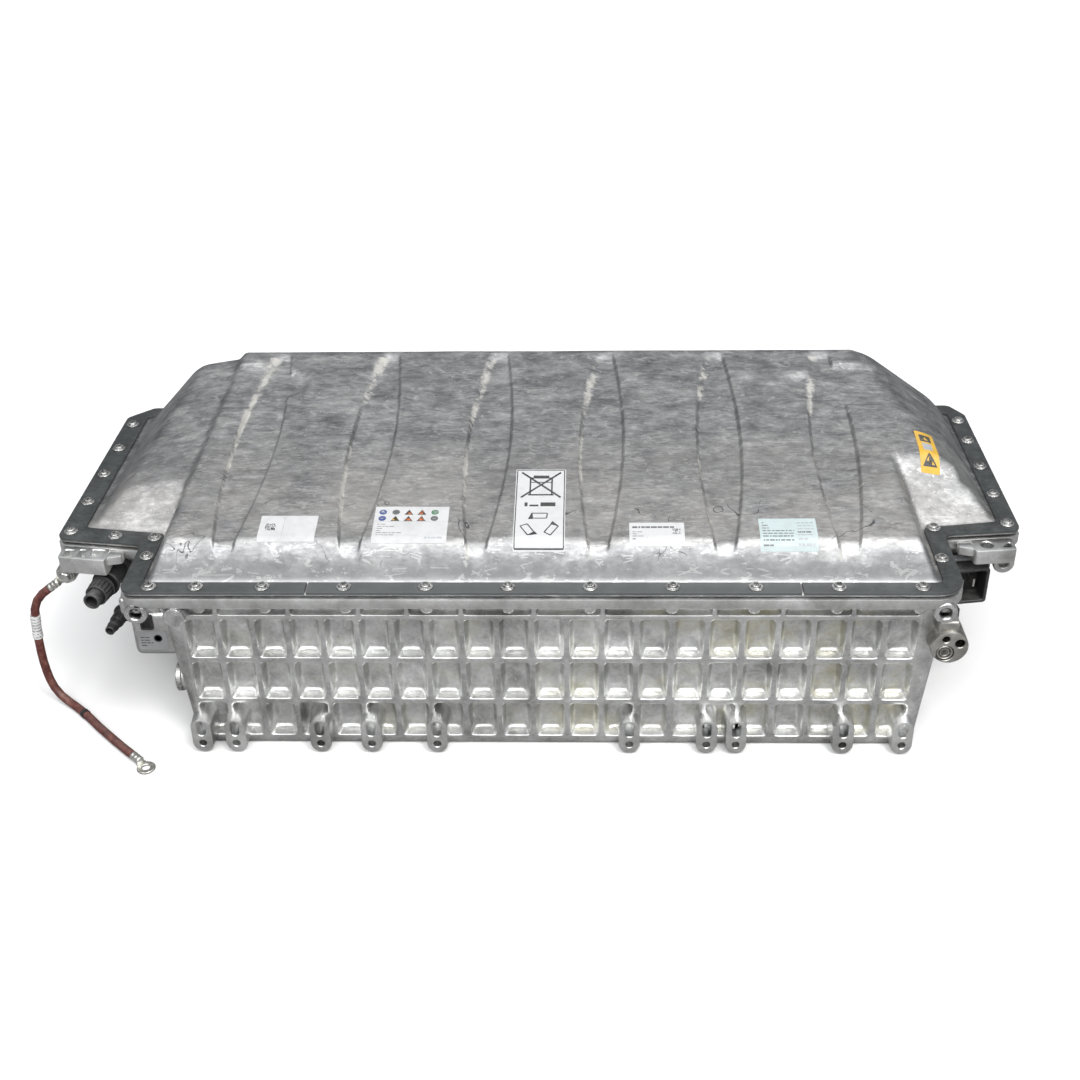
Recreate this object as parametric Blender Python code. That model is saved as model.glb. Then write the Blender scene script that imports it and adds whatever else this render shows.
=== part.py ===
"""Traction battery pack of a plug-in hybrid car, as an assembly of separate solids.

Metres, +Z up, +Y towards the back. The origin is on the floor, below the middle of the pack.
A cast aluminium tray with a ribbed front carries two layers of prismatic cell modules, a pressed
aluminium cover closes it, and four clamp strips hold the cover's rim on its seal.
"""

import math

import bmesh
import bpy
from mathutils import Matrix, Vector

# ---------------------------------------------------------------- driving dimensions
GAP = 0.0003  # between pieces that touch
HALF_DEPTH = 0.202  # front lugs and the rim's back edge
STRIP_TOP = 0.200
STRIP_THICK = 0.0025
SHEET = 0.002  # cover sheet
SEAL = 0.0019
RIM_THICK = 0.012  # the tray's flange
RIM_WIDTH_IN = 0.003  # the opening lies this far inside the cover's wall

SHEET_TOP = STRIP_TOP - STRIP_THICK - GAP
SHEET_BOTTOM = SHEET_TOP - SHEET
SEAL_TOP = SHEET_BOTTOM - GAP
RIM_TOP = SEAL_TOP - SEAL - GAP
RIM_BOTTOM = RIM_TOP - RIM_THICK

# the deep part of the tray, which holds the modules
WELL_LEFT, WELL_RIGHT = -0.352, 0.388
WELL_FRONT, WELL_BACK = -0.186, 0.186
SIDE_WALL = 0.014
RIBBED_WALL = 0.017
FLOOR = 0.012

# the two shallow tubs beside it
TUB_FLOOR = 0.077
TUB_WALL = 0.005
TUB_BACK = 0.184

# cover: the top slopes up towards the back
TOP_FRONT_Y, TOP_FRONT_Z = -0.175, 0.233
TOP_SLOPE = 0.163
TERRACE_DROP = 0.008

BEAD_FIRST_X, BEAD_PITCH, BEAD_COUNT = -0.300, 0.1225, 6
BEAD_DEPTH = 0.004
BEAD_HALF_WIDTH, BEAD_END_HALF_WIDTH = 0.023, 0.009
BEAD_FRONT_Y, BEAD_BACK_Y = -0.168, 0.160

# ribbed walls
COLUMN_PITCH, COLUMNS = 0.03488, 21
REAR_COLUMNS = 14
COLUMN_FIRST_X = -0.3515
ROW_LEVELS = (0.009, 0.0564, 0.1082, 0.1608)
POCKET_RIB = 0.006
POCKET_DEPTH = 0.013
POCKET_DRAFT = 0.0035
TOP_ROW_LEVELS = (0.1608, 0.1790)
TOP_ROW_RIBS = (-0.3515, -0.317, -0.244, -0.174, -0.126, -0.072, 0.0, 0.068, 0.178, 0.245, 0.314, 0.381)
TOP_ROW_DEPTH = 0.007

LUG_XS = (-0.346, -0.311, -0.223, -0.170, -0.102, 0.096, 0.175, 0.205, 0.314, 0.374)
LUG_HALF_WIDTH = 0.011
LUG_LOW_Z, LUG_HIGH_Z = 0.013, 0.032
LUG_HOLE, LUG_SLOT = 0.0042, 0.0055
LUG_HOLE_DEPTH, LUG_SLOT_DEPTH = 0.012, 0.009

BUSH_CENTRES = ((-0.391, 0.1745), (0.3985, 0.1765))
BUSH_RADIUS, BUSH_HOLE = 0.0115, 0.005
BUSH_LENGTH, BUSH_HOLE_DEPTH = 0.026, 0.022
BOSS_CENTRE, BOSS_RADIUS, BOSS_LENGTH = (-0.354, 0.170), 0.0105, 0.030

# prismatic cells: 148 x 91 x 26.5 mm, 24 in a stack
CELLS = 24
CELL_PITCH, CELL_WIDTH, CELL_HEIGHT = 0.0265, 0.148, 0.091
CELL_GROOVE, CELL_GROOVE_DEPTH = 0.0016, 0.006
STACK_LEFT = -0.300
END_PLATE = 0.012
PLATE_THICK, PLATE_HALF_DEPTH = 0.006, 0.160
LINK_THICK, LINK_HALF_LENGTH, LINK_LOW, LINK_HIGH = 0.003, 0.030, 0.055, 0.080
CARRIER_THICK = 0.0075
STACK_YS = {"front": -0.082, "rear": 0.082}
LOWER_PLATE_Z = FLOOR + GAP
LOWER_STACK_Z = LOWER_PLATE_Z + PLATE_THICK + GAP
UPPER_PLATE_Z = LOWER_STACK_Z + CELL_HEIGHT + CARRIER_THICK + 3 * GAP
UPPER_STACK_Z = UPPER_PLATE_Z + PLATE_THICK + GAP

# ---------------------------------------------------------------- outlines of the rim, seen from above
# Each corner is (x, y, radius), anticlockwise from the front left.
RIM_OUTLINE = (
    (-0.406, -HALF_DEPTH, 0.016),
    (0.418, -HALF_DEPTH, 0.028),
    (0.418, -0.094, 0.008),
    (0.497, -0.086, 0.012),
    (0.497, 0.176, 0.010),
    (0.482, HALF_DEPTH, 0.010),
    (-0.470, HALF_DEPTH, 0.010),
    (-0.497, 0.176, 0.010),
    (-0.497, -0.100, 0.012),
    (-0.406, -0.113, 0.008),
)
WALL_OUTLINE = (
    (-0.381, -0.178, 0.003),
    (0.394, -0.178, 0.003),
    (0.394, -0.076, 0.010),
    (0.472, -0.064, 0.003),
    (0.472, 0.176, 0.003),
    (-0.468, 0.176, 0.003),
    (-0.468, -0.074, 0.003),
    (-0.381, -0.087, 0.010),
)
STRIP_SPLITS = (-0.221, 0.260)

COLOURS = {
    "cast_aluminium": ((0.60, 0.60, 0.60), 0.38, 1.0),
    "sheet_aluminium": ((0.50, 0.51, 0.52), 0.34, 1.0),
    "dark_steel": ((0.06, 0.07, 0.08), 0.5, 0.6),
    "zinc_steel": ((0.72, 0.72, 0.70), 0.3, 1.0),
    "black_plastic": ((0.02, 0.02, 0.022), 0.5, 0.0),
    "grey_plastic": ((0.16, 0.17, 0.18), 0.5, 0.0),
    "seal_rubber": ((0.03, 0.03, 0.03), 0.8, 0.0),
    "cable_sheath": ((0.23, 0.07, 0.055), 0.55, 0.0),
    "tag_film": ((0.85, 0.85, 0.85), 0.4, 0.0),
    "copper": ((0.72, 0.42, 0.28), 0.3, 1.0),
    "cell_can": ((0.10, 0.16, 0.32), 0.4, 0.3),
}


# ---------------------------------------------------------------- making solids
def clear_scene():
    for obj in list(bpy.data.objects):
        bpy.data.objects.remove(obj)


def material(slot):
    found = bpy.data.materials.get(slot)
    if found:
        return found
    colour, roughness, metallic = COLOURS[slot]
    made = bpy.data.materials.new(slot)
    made.use_nodes = True
    shader = made.node_tree.nodes["Principled BSDF"]
    shader.inputs["Base Color"].default_value = (*colour, 1.0)
    shader.inputs["Roughness"].default_value = roughness
    shader.inputs["Metallic"].default_value = metallic
    return made


def place(name, bm, slot, origin=(0, 0, 0), axes=None):
    """One named object under the pack's empty. The mesh is given about its own origin."""
    bmesh.ops.remove_doubles(bm, verts=bm.verts, dist=1e-7)
    bmesh.ops.recalc_face_normals(bm, faces=bm.faces)
    mesh = bpy.data.meshes.new(name)
    bm.to_mesh(mesh)
    bm.free()
    mesh.materials.append(material(slot))
    obj = bpy.data.objects.new(name, mesh)
    bpy.context.scene.collection.objects.link(obj)
    obj.parent = PACK
    obj.location = origin
    if axes is not None:
        obj.rotation_euler = axes.to_euler()
    return obj


def helper(name, bm):
    """A cutter, or a shape that another object takes in: it isn't a part of its own."""
    obj = place(name, bm, "cast_aluminium")
    obj.hide_render = True
    obj.display_type = "WIRE"
    return obj


def boolean(target, other, operation):
    modifier = target.modifiers.new(f"{operation.lower()}_{other.name}", "BOOLEAN")
    modifier.object = other
    modifier.operation = operation
    modifier.solver = "EXACT"


def box_into(bm, low, high):
    centre = (Vector(low) + Vector(high)) / 2
    size = Vector(high) - Vector(low)
    move = Matrix.Translation(centre) @ Matrix.Diagonal((*size, 1.0))
    bmesh.ops.create_cube(bm, size=1.0, matrix=move)


def box_mesh(low, high):
    bm = bmesh.new()
    box_into(bm, low, high)
    return bm


def box(name, low, high, slot):
    """A plain block with its origin at its own middle."""
    centre = (Vector(low) + Vector(high)) / 2
    return place(name, box_mesh(Vector(low) - centre, Vector(high) - centre), slot, centre)


def towards(direction):
    """Rotation that turns +Z to a direction."""
    return Vector(direction).to_track_quat("Z", "Y").to_matrix()


def turned_into(bm, profile, sides, origin=(0, 0, 0), direction=(0, 0, 1)):
    """A solid of revolution. profile is (distance along the axis, radius), from one end to the other.
    A profile that returns to its start makes a ring; otherwise both ends get caps."""
    turn = towards(direction)
    closed = profile[0] == profile[-1]
    stations = profile[:-1] if closed else profile
    rings = []
    for along, radius in stations:
        ring = []
        for k in range(sides):
            angle = 2 * math.pi * k / sides
            local = Vector((radius * math.cos(angle), radius * math.sin(angle), along))
            ring.append(bm.verts.new(Vector(origin) + turn @ local))
        rings.append(ring)
    pairs = list(zip(rings, rings[1:]))
    if closed:
        pairs.append((rings[-1], rings[0]))
    else:
        bm.faces.new(rings[0][::-1])
        bm.faces.new(rings[-1])
    for first, second in pairs:
        for k in range(sides):
            j = (k + 1) % sides
            bm.faces.new((first[k], first[j], second[j], second[k]))


def turned(name, profile, sides, slot, origin=(0, 0, 0), direction=(0, 0, 1)):
    bm = bmesh.new()
    turned_into(bm, profile, sides)
    obj = place(name, bm, slot, origin, towards(direction))
    obj.data.shade_smooth()
    obj.data.set_sharp_from_angle(angle=math.radians(40))
    return obj


def rounded(corners, steps=3):
    """Outline points of a polygon whose corners (x, y, radius) are rounded by arcs."""
    points = []
    count = len(corners)
    for i, (x, y, radius) in enumerate(corners):
        corner = Vector((x, y))
        before = (Vector(corners[i - 1][:2]) - corner).normalized()
        after = (Vector(corners[(i + 1) % count][:2]) - corner).normalized()
        half = before.angle(after) / 2
        reach = radius / math.tan(half)
        centre = corner + (before + after).normalized() * radius / math.sin(half)
        start = corner + before * reach - centre
        end = corner + after * reach - centre
        sweep = start.angle_signed(end)
        for k in range(steps + 1):
            turn = Matrix.Rotation(-sweep * k / steps, 2)
            points.append(centre + turn @ start)
    return points


def offset(corners, distance):
    """The same corners moved outwards by a distance (inwards if negative)."""
    moved = []
    count = len(corners)
    for i, (x, y, radius) in enumerate(corners):
        corner = Vector((x, y))
        along_in = (corner - Vector(corners[i - 1][:2])).normalized()
        along_out = (Vector(corners[(i + 1) % count][:2]) - corner).normalized()
        normal_in = Vector((along_in.y, -along_in.x))
        normal_out = Vector((along_out.y, -along_out.x))
        step = (normal_in + normal_out) * distance / (1 + normal_in.dot(normal_out))
        convex = along_in.cross(along_out) > 0
        new_radius = max(0.002, radius + (distance if convex else -distance))
        moved.append((*(corner + step), new_radius))
    return moved


def prism_into(bm, points, low, high):
    """Extrudes an outline along Z. low and high are levels, or functions of (x, y)."""
    level_low = low if callable(low) else lambda x, y: low
    level_high = high if callable(high) else lambda x, y: high
    bottom = [bm.verts.new((p[0], p[1], level_low(p[0], p[1]))) for p in points]
    top = [bm.verts.new((p[0], p[1], level_high(p[0], p[1]))) for p in points]
    bm.faces.new(bottom[::-1])
    bm.faces.new(top)
    count = len(points)
    for i in range(count):
        j = (i + 1) % count
        bm.faces.new((bottom[i], bottom[j], top[j], top[i]))


def prism_mesh(points, low, high):
    bm = bmesh.new()
    prism_into(bm, points, low, high)
    return bm


def convex_mesh(planes, reach=1.0):
    """The space behind every plane, each given as (point, outward normal)."""
    bm = bmesh.new()
    bmesh.ops.create_cube(bm, size=2 * reach)
    for point, normal in planes:
        everything = bm.verts[:] + bm.edges[:] + bm.faces[:]
        cut = bmesh.ops.bisect_plane(
            bm, geom=everything, plane_co=point, plane_no=normal, clear_outer=True
        )
        edges = [e for e in cut["geom_cut"] if isinstance(e, bmesh.types.BMEdge)]
        bmesh.ops.contextual_create(bm, geom=edges)
    return bm


def slope_plane(start, end, low, high):
    """A wall plane over the floor line start-end, with its outside on the right of that line.
    It passes through the line at z = low[1] and leans inwards by high[0] - low[0] at z = high[1]."""
    along = (Vector(end) - Vector(start)).normalized()
    outward = Vector((along.y, -along.x, 0))
    point = Vector((*start, low[1])) - outward * low[0]
    lean = high[0] - low[0]
    rise = high[1] - low[1]
    normal = (outward * rise + Vector((0, 0, 1)) * lean).normalized()
    return point, normal


# ---------------------------------------------------------------- cover
def top_level(x, y):
    return TOP_FRONT_Z + TOP_SLOPE * (y - TOP_FRONT_Y)


def top_plane(drop):
    return Vector((0, TOP_FRONT_Y, TOP_FRONT_Z - drop)), Vector((0, -TOP_SLOPE, 1)).normalized()


def crown_planes(thick):
    """Planes of the cover's middle, moved in by the sheet's thickness for its inside."""
    base = SHEET_TOP - thick
    return [
        (Vector((0, 0, SHEET_BOTTOM - thick)), Vector((0, 0, -1))),
        top_plane(thick),
        slope_plane((-1, -0.178), (1, -0.178), (thick, base), (thick + 0.014, base + 0.038)),
        slope_plane((1, 0.176), (-1, 0.176), (thick, base), (thick + 0.006, base + 0.090)),
        slope_plane((-0.381, 1), (-0.381, -1), (thick, base), (thick + 0.022, base + 0.040)),
        slope_plane((0.394, -1), (0.394, 1), (thick, base), (thick + 0.016, base + 0.040)),
    ]


def wing_planes(thick):
    """Planes of the wide part, whose two ends slope down over the tubs."""
    base = SHEET_TOP - thick
    return [
        (Vector((0, 0, SHEET_BOTTOM - thick)), Vector((0, 0, -1))),
        top_plane(TERRACE_DROP + thick),
        slope_plane((1, 0.176), (-1, 0.176), (thick, base), (thick + 0.006, base + 0.090)),
        slope_plane((-0.468, 1), (-0.468, -1), (thick, base), (thick + 0.082, base + 0.082)),
        slope_plane((0.472, -1), (0.472, 1), (thick, base), (thick + 0.110, base + 0.092)),
        slope_plane((-0.468, -0.074), (-0.381, -0.087), (thick, base), (thick + 0.050, base + 0.036)),
        slope_plane((0.394, -0.076), (0.472, -0.064), (thick, base), (thick + 0.046, base + 0.034)),
    ]


def bead_outline(x, grow):
    """Half-lens on each side of a line: narrow at both ends and widest in the middle."""
    steps = 5
    right = []
    for k in range(steps + 1):
        share = k / steps
        bulge = math.sin(math.pi * share)
        half = BEAD_END_HALF_WIDTH + (BEAD_HALF_WIDTH - BEAD_END_HALF_WIDTH) * bulge + grow
        y = BEAD_FRONT_Y - grow + (BEAD_BACK_Y - BEAD_FRONT_Y + 2 * grow) * share
        right.append((x + half, y))
    left = [(2 * x - px, py) for px, py in reversed(right)]
    return right + left


def beads_mesh(drop, grow):
    bm = bmesh.new()
    for k in range(BEAD_COUNT):
        outline = bead_outline(BEAD_FIRST_X + k * BEAD_PITCH, grow)
        prism_into(bm, outline, lambda x, y: top_level(x, y) - drop, lambda x, y: top_level(x, y) + 0.02)
    return bm


def make_cover():
    hollow = helper("cover_hollow", convex_mesh(crown_planes(SHEET)))
    boolean(hollow, helper("wing_hollow", convex_mesh(wing_planes(SHEET))), "UNION")
    boolean(hollow, helper("bead_hollows", beads_mesh(BEAD_DEPTH + SHEET, SHEET)), "DIFFERENCE")
    cover = place("cover", convex_mesh(crown_planes(0.0)), "sheet_aluminium")
    boolean(cover, helper("wing_outside", convex_mesh(wing_planes(0.0))), "UNION")
    boolean(cover, helper("bead_cuts", beads_mesh(BEAD_DEPTH, 0.0)), "DIFFERENCE")
    rim = prism_mesh(rounded(offset(RIM_OUTLINE, -0.002)), SHEET_BOTTOM, SHEET_TOP)
    boolean(cover, helper("cover_rim", rim), "UNION")
    boolean(cover, hollow, "DIFFERENCE")


def ring_mesh(outer, inner, low, high):
    """A flat frame between two outlines."""
    bm = bmesh.new()
    ends = {low: [], high: []}
    for points, inside in ((outer, False), (inner, True)):
        bottom = [bm.verts.new((p[0], p[1], low)) for p in points]
        top = [bm.verts.new((p[0], p[1], high)) for p in points]
        count = len(points)
        for i in range(count):
            j = (i + 1) % count
            side = (bottom[i], bottom[j], top[j], top[i])
            bm.faces.new(side[::-1] if inside else side)
            ends[low].append(bm.edges.get((bottom[i], bottom[j])))
            ends[high].append(bm.edges.get((top[i], top[j])))
    for edges in ends.values():
        bmesh.ops.triangle_fill(bm, edges=edges, use_beauty=True)
    return bm


def make_seal_and_strips():
    seal_outer = rounded(offset(RIM_OUTLINE, -0.006))
    seal_inner = rounded(offset(WALL_OUTLINE, 0.003))
    place("cover_seal", ring_mesh(seal_outer, seal_inner, SEAL_TOP - SEAL, SEAL_TOP), "seal_rubber")
    outer = rounded(offset(RIM_OUTLINE, -0.001))
    inner = rounded(offset(WALL_OUTLINE, 0.004))
    first, second = STRIP_SPLITS
    slot = 0.001
    regions = {
        "clamp_strip_left": (-1, first - slot, -1, 1),
        "clamp_strip_front": (first + slot, second - slot, -1, 0),
        "clamp_strip_rear": (first + slot, second - slot, 0, 1),
        "clamp_strip_right": (second + slot, 1, -1, 1),
    }
    for name, (x0, x1, y0, y1) in regions.items():
        strip = place(name, ring_mesh(outer, inner, STRIP_TOP - STRIP_THICK, STRIP_TOP), "dark_steel")
        boolean(strip, helper(name + "_region", box_mesh((x0, y0, 0), (x1, y1, 1))), "INTERSECT")


# ---------------------------------------------------------------- tray
def pocket_into(bm, x0, x1, z0, z1, face_y, inward, depth, draft):
    """A drafted pocket in a wall that faces -Y or +Y. inward is the direction into the wall."""
    beyond = 0.002
    spread = draft * beyond / depth
    rings = []
    for y, grow in ((face_y - inward * beyond, spread), (face_y + inward * depth, -draft)):
        left, right, low, high = x0 - grow, x1 + grow, z0 - grow, z1 + grow
        corners = ((left, low), (right, low), (right, high), (left, high))
        rings.append([bm.verts.new((x, y, z)) for x, z in corners])
    outside, inside = rings
    bm.faces.new(outside)
    bm.faces.new(inside[::-1])
    for i in range(4):
        j = (i + 1) % 4
        bm.faces.new((outside[j], outside[i], inside[i], inside[j]))


def wall_pockets(face_y, inward, columns, pitch):
    bm = bmesh.new()
    half = POCKET_RIB / 2
    for k in range(columns):
        x0 = COLUMN_FIRST_X + k * pitch + half
        x1 = COLUMN_FIRST_X + (k + 1) * pitch - half
        for low, high in zip(ROW_LEVELS, ROW_LEVELS[1:]):
            pocket_into(bm, x0, x1, low + half, high - half, face_y, inward, POCKET_DEPTH, POCKET_DRAFT)
    for x0, x1 in zip(TOP_ROW_RIBS, TOP_ROW_RIBS[1:]):
        low, high = TOP_ROW_LEVELS
        pocket_into(bm, x0 + half, x1 - half, low + half, high, face_y, inward, TOP_ROW_DEPTH, 0.002)
    return bm


def tub_planes(side, inset, floor, roof):
    """One shallow tub: side is -1 on the left and +1 on the right; inset moves its walls inwards."""
    left = side < 0
    top_x = -0.480 if left else 0.486
    low_x = -0.420 if left else 0.432
    front = ((-0.468, -0.081), (-0.381, -0.094)) if left else ((0.394, -0.083), (0.472, -0.071))
    outer_line = ((low_x, 1), (low_x, -1)) if left else ((low_x, -1), (low_x, 1))
    lean = abs(top_x - low_x)
    inner_x = -0.334 if left else 0.370
    return [
        (Vector((0, 0, floor)), Vector((0, 0, -1))),
        (Vector((0, 0, roof)), Vector((0, 0, 1))),
        (Vector((inner_x, 0, 0)), Vector((-side, 0, 0))),
        (Vector((0, TUB_BACK - inset, 0)), Vector((0, 1, 0))),
        slope_plane(*outer_line, (inset, TUB_FLOOR), (inset - lean, RIM_BOTTOM)),
        slope_plane(*front, (inset, TUB_FLOOR), (inset, RIM_BOTTOM)),
    ]


def lug_profile(steps=4):
    """Outline of a front lug, seen from the front: straight sides and round ends."""
    points = []
    for centre_z, first in ((LUG_LOW_Z, math.pi), (LUG_HIGH_Z, 0.0)):
        for k in range(steps + 1):
            angle = first + math.pi * k / steps
            points.append((LUG_HALF_WIDTH * math.cos(angle), centre_z + LUG_HALF_WIDTH * math.sin(angle)))
    return points


def make_tray():
    well = box_mesh((WELL_LEFT, WELL_FRONT, 0.0), (WELL_RIGHT, WELL_BACK, RIM_BOTTOM + 0.001))
    tray = place("tray", well, "cast_aluminium")
    for side, name in ((-1, "tub_left"), (1, "tub_right")):
        tub = convex_mesh(tub_planes(side, 0.0, TUB_FLOOR, RIM_BOTTOM + 0.002))
        boolean(tray, helper(name, tub), "UNION")
    rim = prism_mesh(rounded(RIM_OUTLINE), RIM_BOTTOM, RIM_TOP)
    boolean(tray, helper("tray_rim", rim), "UNION")

    lugs = bmesh.new()
    flat = [Vector((x, z, 0)) for x, z in lug_profile()]
    stand = Matrix(((1, 0, 0), (0, 0, -1), (0, 1, 0))).to_4x4()
    for x in LUG_XS:
        before = set(lugs.verts)
        prism_into(lugs, flat, 0.180, HALF_DEPTH)
        fresh = [v for v in lugs.verts if v not in before]
        bmesh.ops.transform(lugs, matrix=Matrix.Translation((x, 0, 0)) @ stand, verts=fresh)
    for (x, z), radius, length in (
        (BUSH_CENTRES[0], BUSH_RADIUS, BUSH_LENGTH),
        (BUSH_CENTRES[1], BUSH_RADIUS, BUSH_LENGTH),
        (BOSS_CENTRE, BOSS_RADIUS, BOSS_LENGTH),
    ):
        turned_into(lugs, [(0.0, radius), (length, radius)], 16, (x, -HALF_DEPTH, z), (0, 1, 0))
    boolean(tray, helper("lugs_and_bosses", lugs), "UNION")

    cavity_low = (WELL_LEFT + SIDE_WALL, WELL_FRONT + RIBBED_WALL, FLOOR)
    cavity_high = (WELL_RIGHT - SIDE_WALL, WELL_BACK - RIBBED_WALL, RIM_BOTTOM + 0.002)
    cavity = helper("well_cavity", box_mesh(cavity_low, cavity_high))
    for side, name in ((-1, "tub_cavity_left"), (1, "tub_cavity_right")):
        hollow = convex_mesh(tub_planes(side, TUB_WALL, TUB_FLOOR + TUB_WALL, RIM_BOTTOM + 0.003))
        boolean(cavity, helper(name, hollow), "UNION")
    opening = prism_mesh(rounded(offset(WALL_OUTLINE, -RIM_WIDTH_IN)), RIM_BOTTOM + 0.0005, RIM_TOP + 0.01)
    boolean(cavity, helper("tray_opening", opening), "UNION")
    boolean(tray, cavity, "DIFFERENCE")

    front_pockets = wall_pockets(WELL_FRONT, 1, COLUMNS, COLUMN_PITCH)
    boolean(tray, helper("front_pockets", front_pockets), "DIFFERENCE")
    rear_pitch = COLUMN_PITCH * COLUMNS / REAR_COLUMNS
    rear_pockets = wall_pockets(WELL_BACK, -1, REAR_COLUMNS, rear_pitch)
    boolean(tray, helper("rear_pockets", rear_pockets), "DIFFERENCE")

    holes = bmesh.new()
    before_face = -HALF_DEPTH - 0.002
    for x in LUG_XS:
        bore = [(0.0, LUG_HOLE), (LUG_HOLE_DEPTH, LUG_HOLE)]
        turned_into(holes, bore, 8, (x, before_face, LUG_LOW_Z), (0, 1, 0))
        slot = [(0.0, LUG_SLOT), (LUG_SLOT_DEPTH, LUG_SLOT)]
        turned_into(holes, slot, 8, (x, before_face, LUG_HIGH_Z), (0, 1, 0))
    for x, z in BUSH_CENTRES:
        bore = [(0.0, BUSH_HOLE), (BUSH_HOLE_DEPTH, BUSH_HOLE)]
        turned_into(holes, bore, 12, (x, before_face, z), (0, 1, 0))
    boolean(tray, helper("lug_holes", holes), "DIFFERENCE")


# ---------------------------------------------------------------- cell modules
def comb_mesh():
    """A stack of prismatic cells: one block with a groove along the top between neighbours."""
    length = CELLS * CELL_PITCH
    half = CELL_GROOVE / 2
    outline = [(0.0, 0.0), (length, 0.0), (length, CELL_HEIGHT)]
    for k in range(CELLS - 1, 0, -1):
        x = k * CELL_PITCH
        outline += [(x + half, CELL_HEIGHT), (x, CELL_HEIGHT - CELL_GROOVE_DEPTH), (x - half, CELL_HEIGHT)]
    outline.append((0.0, CELL_HEIGHT))
    bm = bmesh.new()
    faces = []
    for y in (-CELL_WIDTH / 2, CELL_WIDTH / 2):
        faces.append([bm.verts.new((x, y, z)) for x, z in outline])
    front, back = faces
    bm.faces.new(front)
    bm.faces.new(back[::-1])
    count = len(outline)
    for i in range(count):
        j = (i + 1) % count
        bm.faces.new((front[j], front[i], back[i], back[j]))
    return bm


def make_modules():
    right = STACK_LEFT + CELLS * CELL_PITCH
    for layer, level in (("lower", LOWER_STACK_Z), ("upper", UPPER_STACK_Z)):
        for side, y in STACK_YS.items():
            tag = f"{layer}_{side}"
            place(f"cell_stack_{tag}", comb_mesh(), "cell_can", (STACK_LEFT, y, level))
            low_y, high_y = y - CELL_WIDTH / 2, y + CELL_WIDTH / 2
            top = level + CELL_HEIGHT
            for end, x0 in (("left", STACK_LEFT - GAP - END_PLATE), ("right", right + GAP)):
                far_corner = (x0 + END_PLATE, high_y, top)
                box(f"end_plate_{tag}_{end}", (x0, low_y, level), far_corner, "cast_aluminium")
            carrier_low = (STACK_LEFT, low_y + 0.008, top + GAP)
            carrier_high = (right, high_y - 0.008, top + GAP + CARRIER_THICK)
            box(f"busbar_carrier_{tag}", carrier_low, carrier_high, "black_plastic")
    plate_left, plate_right = WELL_LEFT + SIDE_WALL + 0.004, WELL_RIGHT - SIDE_WALL - 0.004
    for name, level in (("cooling_plate_lower", LOWER_PLATE_Z), ("cooling_plate_upper", UPPER_PLATE_Z)):
        low = (plate_left, -PLATE_HALF_DEPTH, level)
        high = (plate_right, PLATE_HALF_DEPTH, level + PLATE_THICK)
        box(name, low, high, "sheet_aluminium")
    link_right = STACK_LEFT - GAP - END_PLATE - GAP
    link_left = link_right - LINK_THICK
    for layer, level in (("lower", LOWER_STACK_Z), ("upper", UPPER_STACK_Z)):
        low = (link_left, -LINK_HALF_LENGTH, level + LINK_LOW)
        high = (link_right, LINK_HALF_LENGTH, level + LINK_HIGH)
        box(f"series_link_{layer}", low, high, "copper")


# ---------------------------------------------------------------- electronics in the tubs
CONTACTOR_X, CONTACTOR_YS = 0.404, {"positive": 0.020, "negative": 0.085}
CONTACTOR_HALF, CONTACTOR_LOW, CONTACTOR_HIGH = 0.020, 0.0896, 0.140
PLUNGER_BORE, PLUNGER_RADIUS = 0.0062, 0.0055
PLUNGER_TRAVEL = 0.002


def make_electronics():
    base_z = TUB_FLOOR + TUB_WALL + GAP
    box("battery_controller", (-0.402, -0.050, base_z), (-0.362, 0.110, 0.176), "grey_plastic")
    box("junction_box_base", (0.376, -0.056, base_z), (0.428, 0.160, base_z + 0.007), "black_plastic")
    for pole, y in CONTACTOR_YS.items():
        low = (-CONTACTOR_HALF, -CONTACTOR_HALF, 0.0)
        high = (CONTACTOR_HALF, CONTACTOR_HALF, CONTACTOR_HIGH - CONTACTOR_LOW)
        place(f"contactor_{pole}", box_mesh(low, high), "black_plastic", (CONTACTOR_X, y, CONTACTOR_LOW))
        bore = bmesh.new()
        bore_foot = (CONTACTOR_X, y, CONTACTOR_LOW + 0.012)
        turned_into(bore, [(0.0, PLUNGER_BORE), (0.06, PLUNGER_BORE)], 12, bore_foot)
        contactor = bpy.data.objects[f"contactor_{pole}"]
        boolean(contactor, helper(f"contactor_bore_{pole}", bore), "DIFFERENCE")
        plunger = [(0.0, PLUNGER_RADIUS), (0.031, PLUNGER_RADIUS), (0.031, 0.012), (0.035, 0.012)]
        foot = (CONTACTOR_X, y, CONTACTOR_HIGH - 0.026)
        turned(f"contactor_plunger_{pole}", plunger, 12, "zinc_steel", foot)
    fuse = [(0.0, 0.014), (0.008, 0.014), (0.008, 0.011), (0.040, 0.011), (0.040, 0.014), (0.048, 0.014)]
    turned("main_fuse", fuse, 12, "tag_film", (CONTACTOR_X, -0.052, CONTACTOR_LOW + 0.015), (0, 1, 0))
    box("current_sensor", (0.385, 0.118, CONTACTOR_LOW), (0.423, 0.146, 0.120), "grey_plastic")


# ---------------------------------------------------------------- cooling
BLOCK_CENTRE = (0.4072, 0.136)
BLOCK_RADIUS = 0.0184
SUCTION_PORT = (-0.004, -0.0065, 0.0062)
LIQUID_PORT = (0.0085, 0.0045, 0.0042)
SENSOR_PORT = (-0.0045, 0.0095, 0.0035)
PIPE_LENGTH, PIPE_PLAY = 0.0875, 0.0002


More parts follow.
